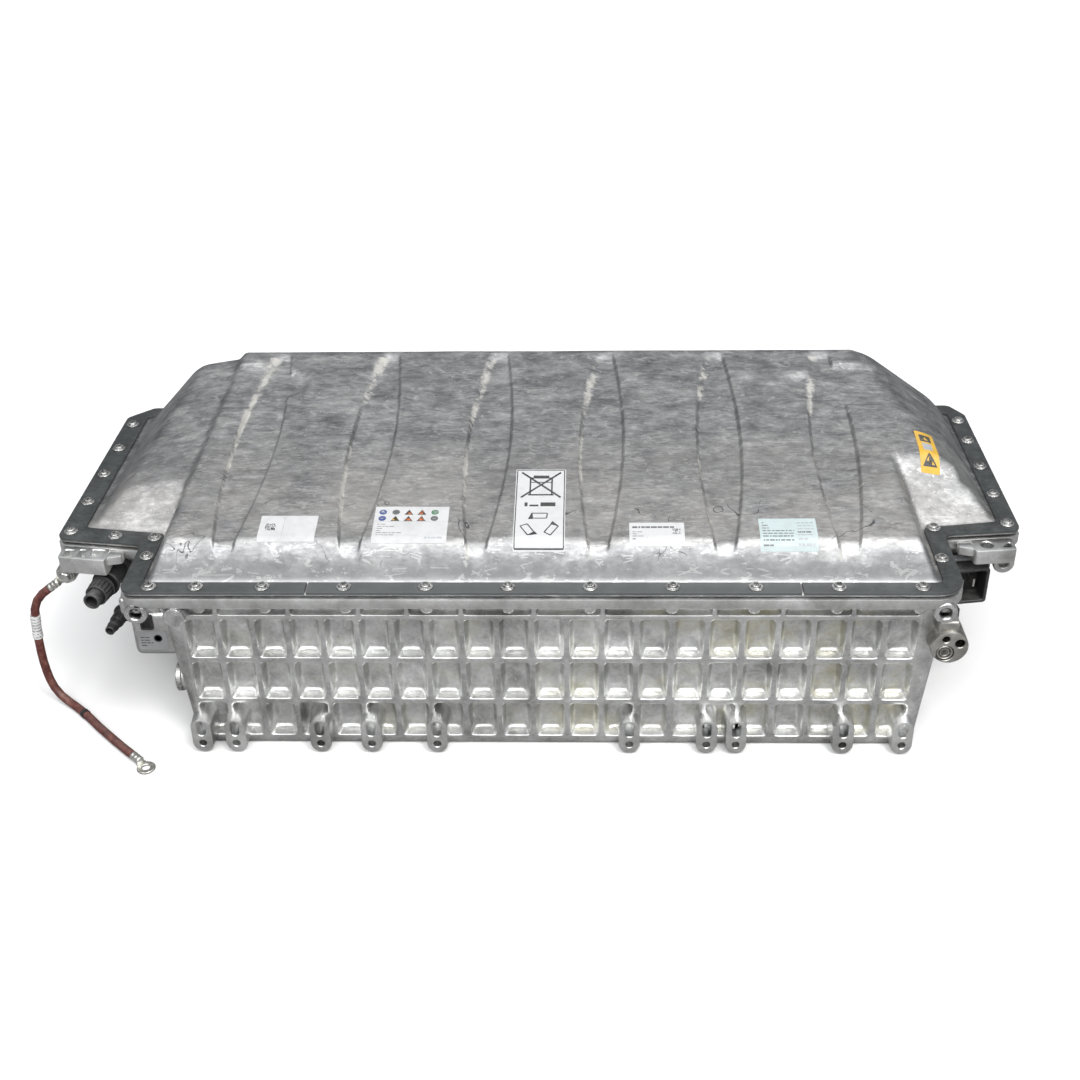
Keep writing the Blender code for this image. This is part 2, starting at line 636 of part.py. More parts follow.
def make_cooling():
    x, z = BLOCK_CENTRE
    face_y = -HALF_DEPTH
    disc = bmesh.new()
    turned_into(disc, [(0.0, BLOCK_RADIUS), (0.030, BLOCK_RADIUS)], 20, (0, 0, 0), (0, 1, 0))
    block = place("refrigerant_block", disc, "cast_aluminium", (x, face_y, z))
    neck = box_mesh((x - 0.012, face_y + 0.004, z + 0.010), (x + 0.008, face_y + 0.022, 0.1645))
    boolean(block, helper("block_neck", neck), "UNION")
    ports = bmesh.new()
    for dx, dz, radius in (SUCTION_PORT, LIQUID_PORT, SENSOR_PORT):
        mouth = (x + dx, face_y - 0.002, z + dz)
        turned_into(ports, [(0.0, radius), (0.016, radius)], 12, mouth, (0, 1, 0))
    boolean(block, helper("block_ports", ports), "DIFFERENCE")
    start = face_y + 0.030 + GAP
    for name, (dx, dz, port) in (("suction_pipe", SUCTION_PORT), ("liquid_pipe", LIQUID_PORT)):
        tube = [(0.0, port - PIPE_PLAY), (PIPE_LENGTH, port - PIPE_PLAY)]
        turned(name, tube, 12, "sheet_aluminium", (x + dx, start, z + dz), (0, 1, 0))


# ---------------------------------------------------------------- brackets and the bonding cable
# Blocks in front of the rim's two wide ends: (near x, far x, underside, top, back y at near and far x).
BRACKETS = {
    "left": (-0.438, -0.489, 0.1745, 0.1925, -0.1087, -0.1015),
    "right": (0.444, 0.487, 0.1770, 0.1925, -0.0918, -0.0876),
}
BRACKET_DEPTH = 0.023
BRACKET_BOSSES = {"left": (-0.4885, 0.1640), "right": (0.4800, 0.1670)}
BRACKET_BOSS_RADIUS, BRACKET_BORE = 0.0108, 0.0042
BRACKET_ARM = 0.014

CABLE_RADIUS = 0.0045
CABLE_ROUTE = (
    (-0.5190, -0.1175, 0.1400),
    (-0.5258, -0.1172, 0.1300),
    (-0.5298, -0.1168, 0.1150),
    (-0.5325, -0.1164, 0.0820),
    (-0.5330, -0.1158, 0.0520),
    (-0.5300, -0.1150, 0.0240),
    (-0.5200, -0.1190, 0.0090),
    (-0.5050, -0.1290, 0.0052),
    (-0.4850, -0.1470, 0.0048),
    (-0.4650, -0.1680, 0.0048),
    (-0.4360, -0.1960, 0.0048),
    (-0.4180, -0.2125, 0.0048),
)
CABLE_STEP = 0.0115
RING_RADIUS, RING_HOLE, RING_THICK = 0.0095, 0.0043, 0.0024
BARREL_RADIUS, BARREL_LENGTH = 0.0047, 0.014


def make_brackets():
    for side, (near, far, low, high, back_near, back_far) in BRACKETS.items():
        sign = 1 if near > 0 else -1
        outline = [(near, back_near), (far, back_far), (far, back_far - BRACKET_DEPTH)]
        outline.append((near, back_near - BRACKET_DEPTH))
        bracket = place(f"mounting_bracket_{side}", prism_mesh(outline, low, high), "cast_aluminium")
        slope = (back_far - back_near) / (far - near)
        arm_end = near - sign * BRACKET_ARM
        arm_y = back_near - slope * sign * BRACKET_ARM
        start = near + sign * 0.002
        arm = [(start, back_near + slope * sign * 0.002 - 0.001), (arm_end, arm_y - 0.001)]
        arm += [(arm_end, arm_y - 0.010), (start, back_near - 0.012)]
        added = prism_mesh(arm, high - 0.010, high - 0.001)
        boss_x, boss_z = BRACKET_BOSSES[side]
        turned_into(
            added, [(0.0, BRACKET_BOSS_RADIUS), (0.012, BRACKET_BOSS_RADIUS)], 14,
            (boss_x, back_far - 0.011, boss_z), (0, 1, 0),
        )
        boolean(bracket, helper(f"bracket_arm_{side}", added), "UNION")
        cuts = bmesh.new()
        bore = [(0.0, BRACKET_BORE), (0.009, BRACKET_BORE)]
        turned_into(cuts, bore, 12, (boss_x, back_far - 0.013, boss_z), (0, 1, 0))
        mid_y = (back_near + back_far - BRACKET_DEPTH) / 2
        if side == "left":
            for k in range(3):
                x = far + 0.005 + k * 0.0155
                far_corner = (x + 0.0115, mid_y + 0.006, high + 0.002)
                box_into(cuts, (x, mid_y - 0.006, high - 0.010), far_corner)
        else:
            turned_into(cuts, [(0.0, 0.0065), (0.03, 0.0065)], 14, (near + 0.014, mid_y, low - 0.005))
            edge = far - 0.005
            corner = [(edge, mid_y - 0.006), (edge, mid_y + 0.006), (far - 0.017, mid_y - 0.006)]
            prism_into(cuts, corner, high - 0.010, high + 0.002)
        boolean(bracket, helper(f"bracket_cuts_{side}", cuts), "DIFFERENCE")


def route_points(start, direction):
    """Points every CABLE_STEP along a smooth curve from a terminal and through the route."""
    route = [start, start + Vector(direction) * 0.006] + [Vector(p) for p in CABLE_ROUTE]
    padded = [2 * route[0] - route[1]] + route + [2 * route[-1] - route[-2]]
    fine = []
    for a, b, c, d in zip(padded, padded[1:], padded[2:], padded[3:]):
        for k in range(12):
            t = k / 12
            along = (c - a) * t + (2 * a - 5 * b + 4 * c - d) * t ** 2 + (3 * b - 3 * c + d - a) * t ** 3
            fine.append(b + along / 2)
    fine.append(route[-1])
    length = sum((q - p).length for p, q in zip(fine, fine[1:]))
    count = round(length / CABLE_STEP)
    points, travelled, index = [fine[0]], 0.0, 0
    for k in range(1, count):
        goal = length * k / count
        while travelled + (fine[index + 1] - fine[index]).length < goal:
            travelled += (fine[index + 1] - fine[index]).length
            index += 1
        piece = fine[index + 1] - fine[index]
        points.append(fine[index] + piece * ((goal - travelled) / piece.length))
    points.append(fine[-1])
    return points


def ring_terminal(name, centre, plate_normal, towards_cable):
    """A crimped ring terminal: a flat ring and a barrel that meets the end of the sheath."""
    bm = bmesh.new()
    turned_into(bm, [(0.0, RING_RADIUS), (RING_THICK, RING_RADIUS)], 14, (0, 0, 0), plate_normal)
    terminal = place(name, bm, "zinc_steel", centre)
    start = Vector(towards_cable) * (RING_RADIUS - 0.0008) + Vector(plate_normal) * BARREL_RADIUS
    barrel = bmesh.new()
    sleeve = [(0.0, BARREL_RADIUS), (BARREL_LENGTH, BARREL_RADIUS)]
    turned_into(barrel, sleeve, 12, (0, 0, 0), towards_cable)
    crimp = place(name + "_barrel", barrel, "zinc_steel", Vector(centre) + start)
    crimp.hide_render = True
    crimp.display_type = "WIRE"
    boolean(terminal, crimp, "UNION")
    hole = bmesh.new()
    turned_into(
        hole, [(-0.002, RING_HOLE), (0.006, RING_HOLE)], 12, Vector(centre), plate_normal
    )
    boolean(terminal, helper(name + "_hole", hole), "DIFFERENCE")
    return Vector(centre) + start + Vector(towards_cable) * (BARREL_LENGTH + GAP)


def make_cable():
    boss_x, boss_z = BRACKET_BOSSES["left"]
    face_y = BRACKETS["left"][5] - 0.011
    down_left = Vector((-0.80, 0, -0.60))
    start = ring_terminal("upper_ring_terminal", (boss_x, face_y - GAP, boss_z), (0, -1, 0), down_left)
    points = route_points(start, down_left)
    back_along = (points[-1] - points[-2]).normalized()
    back_along.z = 0
    back_along.normalize()
    reach = RING_RADIUS - 0.0008 + BARREL_LENGTH + GAP
    ring = points[-1] + back_along * reach
    ring_terminal("lower_ring_terminal", (ring.x, ring.y, 0.0001), (0, 0, 1), -back_along)
    head_y = face_y - 2 * GAP - RING_THICK
    bolt = [(0.0, 0.0078), (0.0055, 0.0078), (0.0055, 0.0036), (0.0140, 0.0036)]
    turned("bonding_bolt", bolt, 12, "zinc_steel", (boss_x, head_y - 0.0055, boss_z), (0, 1, 0))

    curve = bpy.data.curves.new("bonding_cable", "CURVE")
    curve.dimensions = "3D"
    curve.bevel_depth = CABLE_RADIUS
    curve.bevel_resolution = 3
    curve.use_fill_caps = True
    spline = curve.splines.new("POLY")
    spline.points.add(len(points) - 1)
    for point, place_at in zip(spline.points, points):
        point.co = (*place_at, 1.0)
    curve.materials.append(material("cable_sheath"))
    cable = bpy.data.objects.new("bonding_cable", curve)
    bpy.context.scene.collection.objects.link(cable)
    cable.parent = PACK

    low, high = Vector((-0.53285, -0.1163, 0.080)), Vector((-0.5300, -0.1167, 0.110))
    inner, outer = CABLE_RADIUS + 0.0007, CABLE_RADIUS + 0.0013
    length = (high - low).length
    sleeve = [(0.0, inner), (0.0, outer), (length, outer), (length, inner), (0.0, inner)]
    turned("cable_tag", sleeve, 12, "tag_film", low, high - low)


# ---------------------------------------------------------------- fittings on the outer walls
def wall_axes(start, end):
    """Local axes on a tub's front wall: +X along the wall, -Y out of it, +Z up."""
    along = (Vector(end) - Vector(start)).normalized()
    return Matrix(((along.x, -along.y, 0), (along.y, along.x, 0), (0, 0, 1)))


LEFT_FRONT = ((-0.468, -0.081), (-0.381, -0.094))
RIGHT_FRONT = ((0.394, -0.083), (0.472, -0.071))
HV_CENTRE, HV_HALF = (0.443, 0.144), (0.019, 0.021)
LV_CENTRE, LV_HALF = (0.426, 0.103), (0.012, 0.013)
LEVER_PIVOT_Y = -0.017
VENT_Y, VENT_Z = -0.155, 0.066


def on_wall(line, x, z):
    (x0, y0), (x1, y1) = line
    return Vector((x, y0 + (y1 - y0) * (x - x0) / (x1 - x0), z))


def make_vent():
    """An emergency vent on the left wall: its disc lifts outwards when the pack must breathe out."""
    cup = [
        (0.0, 0.0030), (0.0, 0.018), (0.006, 0.018), (0.006, 0.0150), (0.017, 0.0150), (0.017, 0.0165),
        (0.022, 0.0165), (0.022, 0.0125), (0.010, 0.0125), (0.010, 0.0030), (0.0, 0.0030),
    ]
    turned("vent_body", cup, 20, "zinc_steel", (WELL_LEFT - GAP, VENT_Y, VENT_Z), (-1, 0, 0))
    poppet = [(0.0, 0.0024), (0.0135, 0.0024), (0.0135, 0.0115), (0.0165, 0.0115)]
    turned("vent_poppet", poppet, 16, "black_plastic", (WELL_LEFT - 0.003, VENT_Y, VENT_Z), (-1, 0, 0))


def make_couplings():
    axes_left = wall_axes(*LEFT_FRONT)
    outward = axes_left @ Vector((0, -1, 0))
    large = [
        (0.0, 0.016), (0.008, 0.016), (0.008, 0.012), (0.030, 0.012), (0.030, 0.0145), (0.034, 0.0145),
        (0.034, 0.0088), (0.068, 0.0088), (0.068, 0.0062), (0.016, 0.0062),
    ]
    at = on_wall(LEFT_FRONT, -0.442, 0.156) + outward * GAP
    turned("large_coupling", large, 16, "black_plastic", at, outward)
    collar = [(0.0, 0.0092), (0.0, 0.0128), (0.018, 0.0118), (0.018, 0.0092), (0.0, 0.0092)]
    turned("large_coupling_collar", collar, 16, "black_plastic", at + outward * 0.0385, outward)
    small = [
        (0.0, 0.0105), (0.007, 0.0105), (0.007, 0.0078), (0.028, 0.0078), (0.028, 0.0098), (0.032, 0.0098),
        (0.032, 0.0074), (0.048, 0.0074), (0.048, 0.0062), (0.064, 0.0052), (0.064, 0.0036), (0.016, 0.0036),
    ]
    at = on_wall(LEFT_FRONT, -0.431, 0.118) + outward * GAP
    turned("small_coupling", small, 14, "black_plastic", at, outward)


def make_header(name, centre, half, depth, pins):
    """A panel header with a shroud open to the front and its pins inside."""
    axes_right = wall_axes(*RIGHT_FRONT)
    outward = axes_right @ Vector((0, -1, 0))
    origin = on_wall(RIGHT_FRONT, *centre) + outward * GAP
    hx, hz = half
    header = place(name, box_mesh((-hx, -depth, -hz), (hx, 0, hz)), "black_plastic", origin, axes_right)
    flange = box_mesh((-hx - 0.0025, -0.004, -hz - 0.0025), (hx + 0.0025, 0, hz + 0.0025))
    cavity = box_mesh((-hx + 0.004, -depth - 0.01, -hz + 0.004), (hx - 0.004, -0.009, hz - 0.004))
    contacts = bmesh.new()
    for x in pins:
        box_into(contacts, (x - 0.0012, -depth + 0.006, -0.005), (x + 0.0012, -0.007, 0.005))
    for bm, kind, operation in (
        (flange, "flange", "UNION"),
        (cavity, "shroud", "DIFFERENCE"),
        (contacts, "pins", "UNION"),
    ):
        other = place(f"{name}_{kind}", bm, "black_plastic", origin, axes_right)
        other.hide_render = True
        other.display_type = "WIRE"
        boolean(header, other, operation)
    return origin, axes_right


def make_connectors():
    origin, axes_right = make_header("high_voltage_header", HV_CENTRE, HV_HALF, 0.030, (-0.006, 0.006))
    make_header("signal_header", LV_CENTRE, LV_HALF, 0.026, (-0.004, 0.0, 0.004))
    hx, hz = HV_HALF
    inside, arm = hx + 0.0006, 0.0022
    pivot = origin + axes_right @ Vector((0, LEVER_PIVOT_Y, 0))
    bm = bmesh.new()
    outer = inside + arm
    frame = [(-outer, -0.005), (-inside, -0.005), (-inside, 0.0265), (inside, 0.0265)]
    frame += [(inside, -0.005), (outer, -0.005), (outer, 0.0295), (-outer, 0.0295)]
    front = [bm.verts.new((x, -0.004, z)) for x, z in frame]
    back = [bm.verts.new((x, 0.004, z)) for x, z in frame]
    bm.faces.new(front)
    bm.faces.new(back[::-1])
    for i in range(len(frame)):
        j = (i + 1) % len(frame)
        bm.faces.new((front[j], front[i], back[i], back[j]))
    place("header_lever", bm, "grey_plastic", pivot, axes_right)


clear_scene()
PACK = bpy.data.objects.new("pack", None)
bpy.context.scene.collection.objects.link(PACK)
make_tray()
make_cover()
make_seal_and_strips()
make_modules()
make_electronics()
make_cooling()
make_brackets()
make_cable()
make_vent()
make_couplings()
make_connectors()
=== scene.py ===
import math

import bmesh
import bpy
import numpy as np
from mathutils import Matrix, Vector


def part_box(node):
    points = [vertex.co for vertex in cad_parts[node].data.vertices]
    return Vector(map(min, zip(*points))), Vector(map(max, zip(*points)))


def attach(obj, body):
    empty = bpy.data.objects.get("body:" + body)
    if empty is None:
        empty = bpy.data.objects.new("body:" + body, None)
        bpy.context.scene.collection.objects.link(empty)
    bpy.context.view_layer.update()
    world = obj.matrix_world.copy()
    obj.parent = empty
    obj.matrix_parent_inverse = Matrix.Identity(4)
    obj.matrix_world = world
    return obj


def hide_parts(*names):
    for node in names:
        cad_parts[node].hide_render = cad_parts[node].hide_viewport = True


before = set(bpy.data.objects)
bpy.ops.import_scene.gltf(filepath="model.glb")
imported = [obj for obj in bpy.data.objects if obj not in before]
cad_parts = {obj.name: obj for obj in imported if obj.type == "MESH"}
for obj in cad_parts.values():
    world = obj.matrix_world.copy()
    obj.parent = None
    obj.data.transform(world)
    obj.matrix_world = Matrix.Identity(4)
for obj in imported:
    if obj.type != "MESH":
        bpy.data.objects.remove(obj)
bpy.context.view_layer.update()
scene = bpy.context.scene

# ---------------------------------------------------------------- camera
# A normal lens a metre and a quarter in front of the pack and well above it, looking down at its
# ribbed front and its lid together.
CAMERA_AT = Vector((0.0521, -1.3675, 0.9794))
CAMERA_YAW, CAMERA_PITCH, CAMERA_ROLL = 0.03754, 0.55238, 0.0203
CAMERA_LENS, CAMERA_SENSOR = 48.496, 36.0


def aim_camera(yaw, pitch, roll):
    """Rotation of a camera that looks along +Y, turned left, tipped down and rolled."""
    forward = Vector((-math.sin(yaw) * math.cos(pitch), math.cos(yaw) * math.cos(pitch), -math.sin(pitch)))
    level_right = Vector((math.cos(yaw), math.sin(yaw), 0))
    level_down = forward.cross(level_right)
    right = level_right * math.cos(roll) + level_down * math.sin(roll)
    down = level_down * math.cos(roll) - level_right * math.sin(roll)
    return Matrix((right, -down, -forward)).transposed()


camera = bpy.data.objects.new("camera", bpy.data.cameras.new("camera"))
camera.data.lens = CAMERA_LENS
camera.data.sensor_width = CAMERA_SENSOR
camera.data.clip_start = 0.01
camera.matrix_world = Matrix.Translation(CAMERA_AT) @ aim_camera(CAMERA_YAW, CAMERA_PITCH,
                                                                 CAMERA_ROLL).to_4x4()
scene.collection.objects.link(camera)
scene.camera = camera


# ---------------------------------------------------------------- bonding cable
# A braided earth lead in a dull red-brown sleeve. It hangs from the left bracket's screw to the
# ground and lies there, with a crimped ring terminal on each end, a printed tag and a tape band.
CABLE_DIAMETER = 0.009
# Points of the cable's route, in millimetres.
CABLE_ROUTE = (
    (-519, -117.5, 140), (-525.8, -117.2, 130), (-529.8, -116.8, 115), (-532.5, -116.4, 82),
    (-533, -115.8, 52), (-530, -115, 24), (-520, -119, 9), (-505, -129, 5.2), (-485, -147, 4.8),
    (-465, -168, 4.8), (-436, -196, 4.8), (-418, -212.5, 4.8))
CABLE_LEAVES = Vector((-0.8, 0.0, -0.6))
BARREL_RADIUS, BARREL_LENGTH = 0.0047, 0.014
RING_RADIUS, RING_THICK, RING_HOLE = 0.0095, 0.0024, 0.0043
CRIMP_START = RING_RADIUS - 0.0008
TOUCH = 0.0003


def link(obj):
    scene.collection.objects.link(obj)
    return obj


def mesh_object(name, bm, material, smooth_angle=40):
    """Turns a bmesh into a finished piece whose place is in its mesh."""
    bmesh.ops.remove_doubles(bm, verts=bm.verts, dist=1e-6)
    bmesh.ops.recalc_face_normals(bm, faces=bm.faces)
    mesh = bpy.data.meshes.new(name)
    bm.to_mesh(mesh)
    bm.free()
    mesh.materials.append(material)
    mesh.shade_smooth()
    if smooth_angle is not None:
        mesh.set_sharp_from_angle(angle=math.radians(smooth_angle))
    return link(bpy.data.objects.new(name, mesh))


def smooth_route(route, step):
    """Evenly spaced points on a smooth curve through a route's points."""
    padded = [2 * route[0] - route[1]] + route + [2 * route[-1] - route[-2]]
    fine = []
    for a, b, c, d in zip(padded, padded[1:], padded[2:], padded[3:]):
        for k in range(12):
            t = k / 12
            along = (c - a) * t + (2 * a - 5 * b + 4 * c - d) * t ** 2 + (3 * b - 3 * c + d - a) * t ** 3
            fine.append(b + along / 2)
    fine.append(route[-1])
    travelled = [0.0]
    for p, q in zip(fine, fine[1:]):
        travelled.append(travelled[-1] + (q - p).length)
    count = round(travelled[-1] / step)
    wanted = np.linspace(0, travelled[-1], count + 1)
    columns = [np.interp(wanted, travelled, [p[axis] for p in fine]) for axis in range(3)]
    return [Vector(p) for p in zip(*columns)], travelled[-1]


def circle(radius, count, level=0.0, start_angle=0.0):
    """Points round a circle that lies flat at a level."""
    angles = [start_angle + 2 * math.pi * k / count for k in range(count)]
    return [Vector((radius * math.cos(angle), radius * math.sin(angle), level)) for angle in angles]


def skin(bm, rings, closed=False):
    """Quads between neighbouring rings of vertices, and from the last to the first if closed."""
    for first, second in zip(rings, rings[1:] + (rings[:1] if closed else [])):
        for k in range(len(first)):
            j = (k + 1) % len(first)
            bm.faces.new((first[k], first[j], second[j], second[k]))


def mm(rows):
    """A table written in millimetres, in metres."""
    return [tuple(value / 1000 for value in row) for row in rows]


def lathe(bm, profile, sides, origin=(0, 0, 0), direction=(0, 0, 1), start_angle=0.0):
    """A solid of revolution in a bmesh. profile is (distance along the axis, radius) from one end to
    the other; one that returns to its start makes a ring, and otherwise both ends get caps."""
    turn = Vector(direction).to_track_quat("Z", "Y").to_matrix()
    closed = profile[0] == profile[-1]
    rings = []
    for along, radius in profile[:-1] if closed else profile:
        points = circle(radius, sides, along, start_angle)
        rings.append([bm.verts.new(Vector(origin) + turn @ point) for point in points])
    if not closed:
        bm.faces.new(rings[0][::-1])
        bm.faces.new(rings[-1])
    skin(bm, rings, closed)


def set_inputs(node, **values):
    for key, value in values.items():
        node.inputs[key.replace("_", " ")].default_value = value
    return node


class NodeWork:
    """The nodes and links of one material, group or world, with short ways to add what they share."""

    def __init__(self, tree):
        self.nodes, self.links = tree.nodes, tree.links
        self.place = None

    def link(self, source, socket):
        self.links.new(source, socket)

    def feed(self, label, source):
        """Joins a socket to an input of the Principled shader."""
        self.link(source, self.shader.inputs[label])

    def paint(self, source):
        self.feed("Base Color", source)

    def new(self, kind, **values):
        return set_inputs(self.nodes.new("ShaderNode" + kind), **values)

    def here(self, socket):
        """Joins an input to Object coordinates."""
        self.place = self.place or self.new("TexCoord")
        self.link(self.place.outputs["Object"], socket)

    def noise(self, scale, detail, roughness=0.5, **values):
        node = self.new("TexNoise", Detail=detail, Roughness=roughness, **values)
        self.here(node.inputs["Vector"])
        self.fill(node.inputs["Scale"], scale)
        return node.outputs["Fac"]

    def axes(self):
        node = self.new("SeparateXYZ")
        self.here(node.inputs[0])
        return node.outputs

    def attribute(self, name):
        node = self.new("Attribute")
        node.attribute_name = name
        return node.outputs["Fac"]

    def group(self, tree, **values):
        node = self.new("Group")
        node.node_tree = tree
        return set_inputs(node, **values)

    def grain(self, scale, contrast=1.0, stretch=1.0):
        return self.group(GRAIN, Scale=scale, Contrast=contrast, Stretch=stretch).outputs

    def scratches(self, scale, width, amount):
        return self.group(SCRATCHES, Scale=scale, Width=width, Amount=amount).outputs["Mask"]

    def dust(self, amount, scale):
        return self.group(DUST, Amount=amount, Scale=scale).outputs["Mask"]

    def fill(self, socket, value):
        """Gives an input a socket to read, a grey or number, or a colour."""
        if isinstance(value, bpy.types.NodeSocket):
            self.link(value, socket)
        else:
            socket.default_value = (*value, 1.0) if isinstance(value, tuple) else value

    def ramp(self, source, stops):
        """A colour ramp on a socket. stops are (position, colour or grey)."""
        node = self.new("ValToRGB")
        while len(node.color_ramp.elements) < len(stops):
            node.color_ramp.elements.new(0.5)
        for element, (position, colour) in zip(node.color_ramp.elements, stops):
            element.position = position
            element.color = (*(colour if isinstance(colour, tuple) else (colour,) * 3), 1.0)
        self.link(source, node.inputs["Fac"])
        return node.outputs["Color"]

    def mix(self, factor, first, second, blend="MIX"):
        node = self.new("Mix")
        node.data_type = "RGBA"
        node.blend_type = blend
        for k, value in ((0, factor), (6, first), (7, second)):
            self.fill(node.inputs[k], value)
        return node.outputs[2]

    def math(self, operation, first, second=0.0, clamp=False):
        node = self.new("Math")
        node.operation = operation
        node.use_clamp = clamp
        self.fill(node.inputs[0], first)
        self.fill(node.inputs[1], second)
        return node.outputs[0]

    def times(self, first, second, clamp=False):
        return self.math("MULTIPLY", first, second, clamp)

    def plus(self, first, second, clamp=False):
        return self.math("ADD", first, second, clamp)

    def surface(self, grain, smooth, rough, distance, strength):
        """Roughness from a grain's fine noise, by two stops, and relief from its height."""
        self.feed("Roughness", self.ramp(grain["Fine"], (smooth, rough)))
        self.bump(grain["Height"], distance, strength)
        return self.made

    def bump(self, height, distance, strength):
        node = self.new("Bump", Distance=distance, Strength=strength)
        self.link(height, node.inputs["Height"])
        self.feed("Normal", node.outputs["Normal"])


def material_work(name, metallic, roughness):
    """A new material's nodes, with its Principled shader."""
    made = bpy.data.materials.new(name)
    made.use_nodes = True
    work = NodeWork(made.node_tree)
    work.made = made
    work.shader = set_inputs(work.nodes["Principled BSDF"], Metallic=metallic, Roughness=roughness)
    return work


def group_work(name, inputs, outputs):
    """An empty shader node group with float inputs (name, default) and float outputs."""
    tree = bpy.data.node_groups.new(name, "ShaderNodeTree")
    for label, default in inputs:
        tree.interface.new_socket(label, in_out="INPUT",
                                  socket_type="NodeSocketFloat").default_value = default
    for label in outputs:
        tree.interface.new_socket(label, in_out="OUTPUT", socket_type="NodeSocketFloat")
    work = NodeWork(tree)
    work.given = work.nodes.new("NodeGroupInput").outputs
    work.leave = work.nodes.new("NodeGroupOutput").inputs
    return tree, work


def grain_group():
    """Mottling, blotches and fine grain of a bare or coated surface. Scale is in blotches per metre."""
    tree, work = group_work(
        "surface_grain", (("Scale", 40.0), ("Contrast", 1.0), ("Stretch", 1.0)), ("Tone", "Fine", "Height"))
    stretch = work.new("CombineXYZ", X=1.0, Z=1.0)
    work.link(work.given["Stretch"], stretch.inputs[1])
    warped = work.new("VectorMath")
    warped.operation = "MULTIPLY"
    work.here(warped.inputs[0])
    work.link(stretch.outputs[0], warped.inputs[1])
    noises = []
    for factor, detail, rough in ((0.25, 4.0, 0.6), (1.0, 6.0, 0.65), (14.0, 3.0, 0.6)):
        noise = work.new("TexNoise", Detail=detail, Roughness=rough)
        work.link(warped.outputs[0], noise.inputs["Vector"])
        work.link(work.times(work.given["Scale"], factor), noise.inputs["Scale"])
        noises.append(noise.outputs["Fac"])
    large, middle, fine = noises
    blend = work.plus(work.times(large, 0.45), work.times(middle, 0.55))
    spread = work.times(work.math("SUBTRACT", blend, 0.5), work.given["Contrast"])
    work.link(work.plus(work.times(spread, 2.6), 0.5, clamp=True), work.leave["Tone"])
    work.link(fine, work.leave["Fine"])
    work.link(work.plus(work.times(middle, 0.7), work.times(fine, 0.3)), work.leave["Height"])
    return tree


def scratch_group():
    """Fine random scratches: thin bright edges of a few stretched, turned cell patterns."""
    tree, work = group_work("fine_scratches", (("Scale", 60.0), ("Width", 0.02), ("Amount", 0.5)), ("Mask",))
    total = 0.0
    for turn, lean in ((0.3, 9.0), (1.35, 7.0), (2.4, 11.0)):
        mapping = work.new("Mapping", Rotation=(0.2 * turn, 0.1, turn), Scale=(1.0, lean, 1.0))
        work.here(mapping.inputs["Vector"])
        cells = work.new("TexVoronoi")
        cells.feature = "DISTANCE_TO_EDGE"
        work.link(mapping.outputs[0], cells.inputs["Vector"])
        work.link(work.times(work.given["Scale"], 0.2), cells.inputs["Scale"])
        line = work.math("LESS_THAN", cells.outputs["Distance"], work.given["Width"])
        total = work.math("MAXIMUM", total, line)
    patches = work.noise(work.given["Scale"], 3.0, 0.7)
    level = work.math("SUBTRACT", 1.0, work.times(work.given["Amount"], 0.6))
    chosen = work.math("GREATER_THAN", patches, level)
    work.link(work.times(total, chosen), work.leave["Mask"])
    return tree


def dust_group():
    """Dust that settles on faces which look up, in soft patches."""
    tree, work = group_work("settled_dust", (("Amount", 0.5), ("Scale", 30.0)), ("Mask",))
    split = work.new("SeparateXYZ")
    work.link(work.new("NewGeometry").outputs["Normal"], split.inputs[0])
    up = work.math("MAXIMUM", split.outputs["Z"], 0.0)
    cloud = work.noise(work.given["Scale"], 6.0, 0.7)
    shaped = work.times(work.math("SUBTRACT", cloud, 0.35), 2.2, clamp=True)
    work.link(work.times(work.times(shaped, up), work.given["Amount"], clamp=True), work.leave["Mask"])
    return tree


GRAIN, SCRATCHES, DUST = grain_group(), scratch_group(), dust_group()


def sheath_material():
    """Heat-shrunk braid sleeve: red-brown rubber with a fine weave, rubbed paler along its crests."""
    work = material_work("cable_sleeve", 0.0, 0.5)
    grain = work.grain(150.0, 1.2)
    weave = work.new("TexVoronoi", Scale=900.0)
    work.here(weave.inputs["Vector"])
    colour = work.ramp(
        grain["Tone"], ((0.1, (0.062, 0.018, 0.015)), (0.55, (0.125, 0.034, 0.027)),
                        (0.95, (0.23, 0.1, 0.08))))
    dust = work.dust(0.45, 60.0)
    work.paint(work.mix(dust, colour, (0.3, 0.24, 0.21)))
    work.feed("Roughness", work.ramp(grain["Fine"], ((0.3, 0.36), (0.8, 0.62))))
    height = work.plus(weave.outputs["Distance"], work.times(grain["Height"], 0.8))
    work.bump(height, 0.0004, 0.5)
    return work.made


def plated_material(name, tint, roughness=0.3):
    """Zinc or tin plating: bright, slightly cloudy, with small scratches and grey handling marks."""
    work = material_work(name, 1.0, roughness)
    grain = work.grain(160.0, 1.3)
    dark = tuple(0.55 * channel for channel in tint)
    colour = work.ramp(
        grain["Tone"], ((0.1, dark), (0.5, tint), (0.95, tuple(min(1.0, 1.25 * c) for c in tint))))
    marks = work.scratches(500.0, 0.03, 0.8)
    work.paint(work.mix(marks, colour, (0.9, 0.9, 0.88)))
    return work.surface(grain, (0.3, roughness - 0.08), (0.75, roughness + 0.18), 0.0003, 0.35)


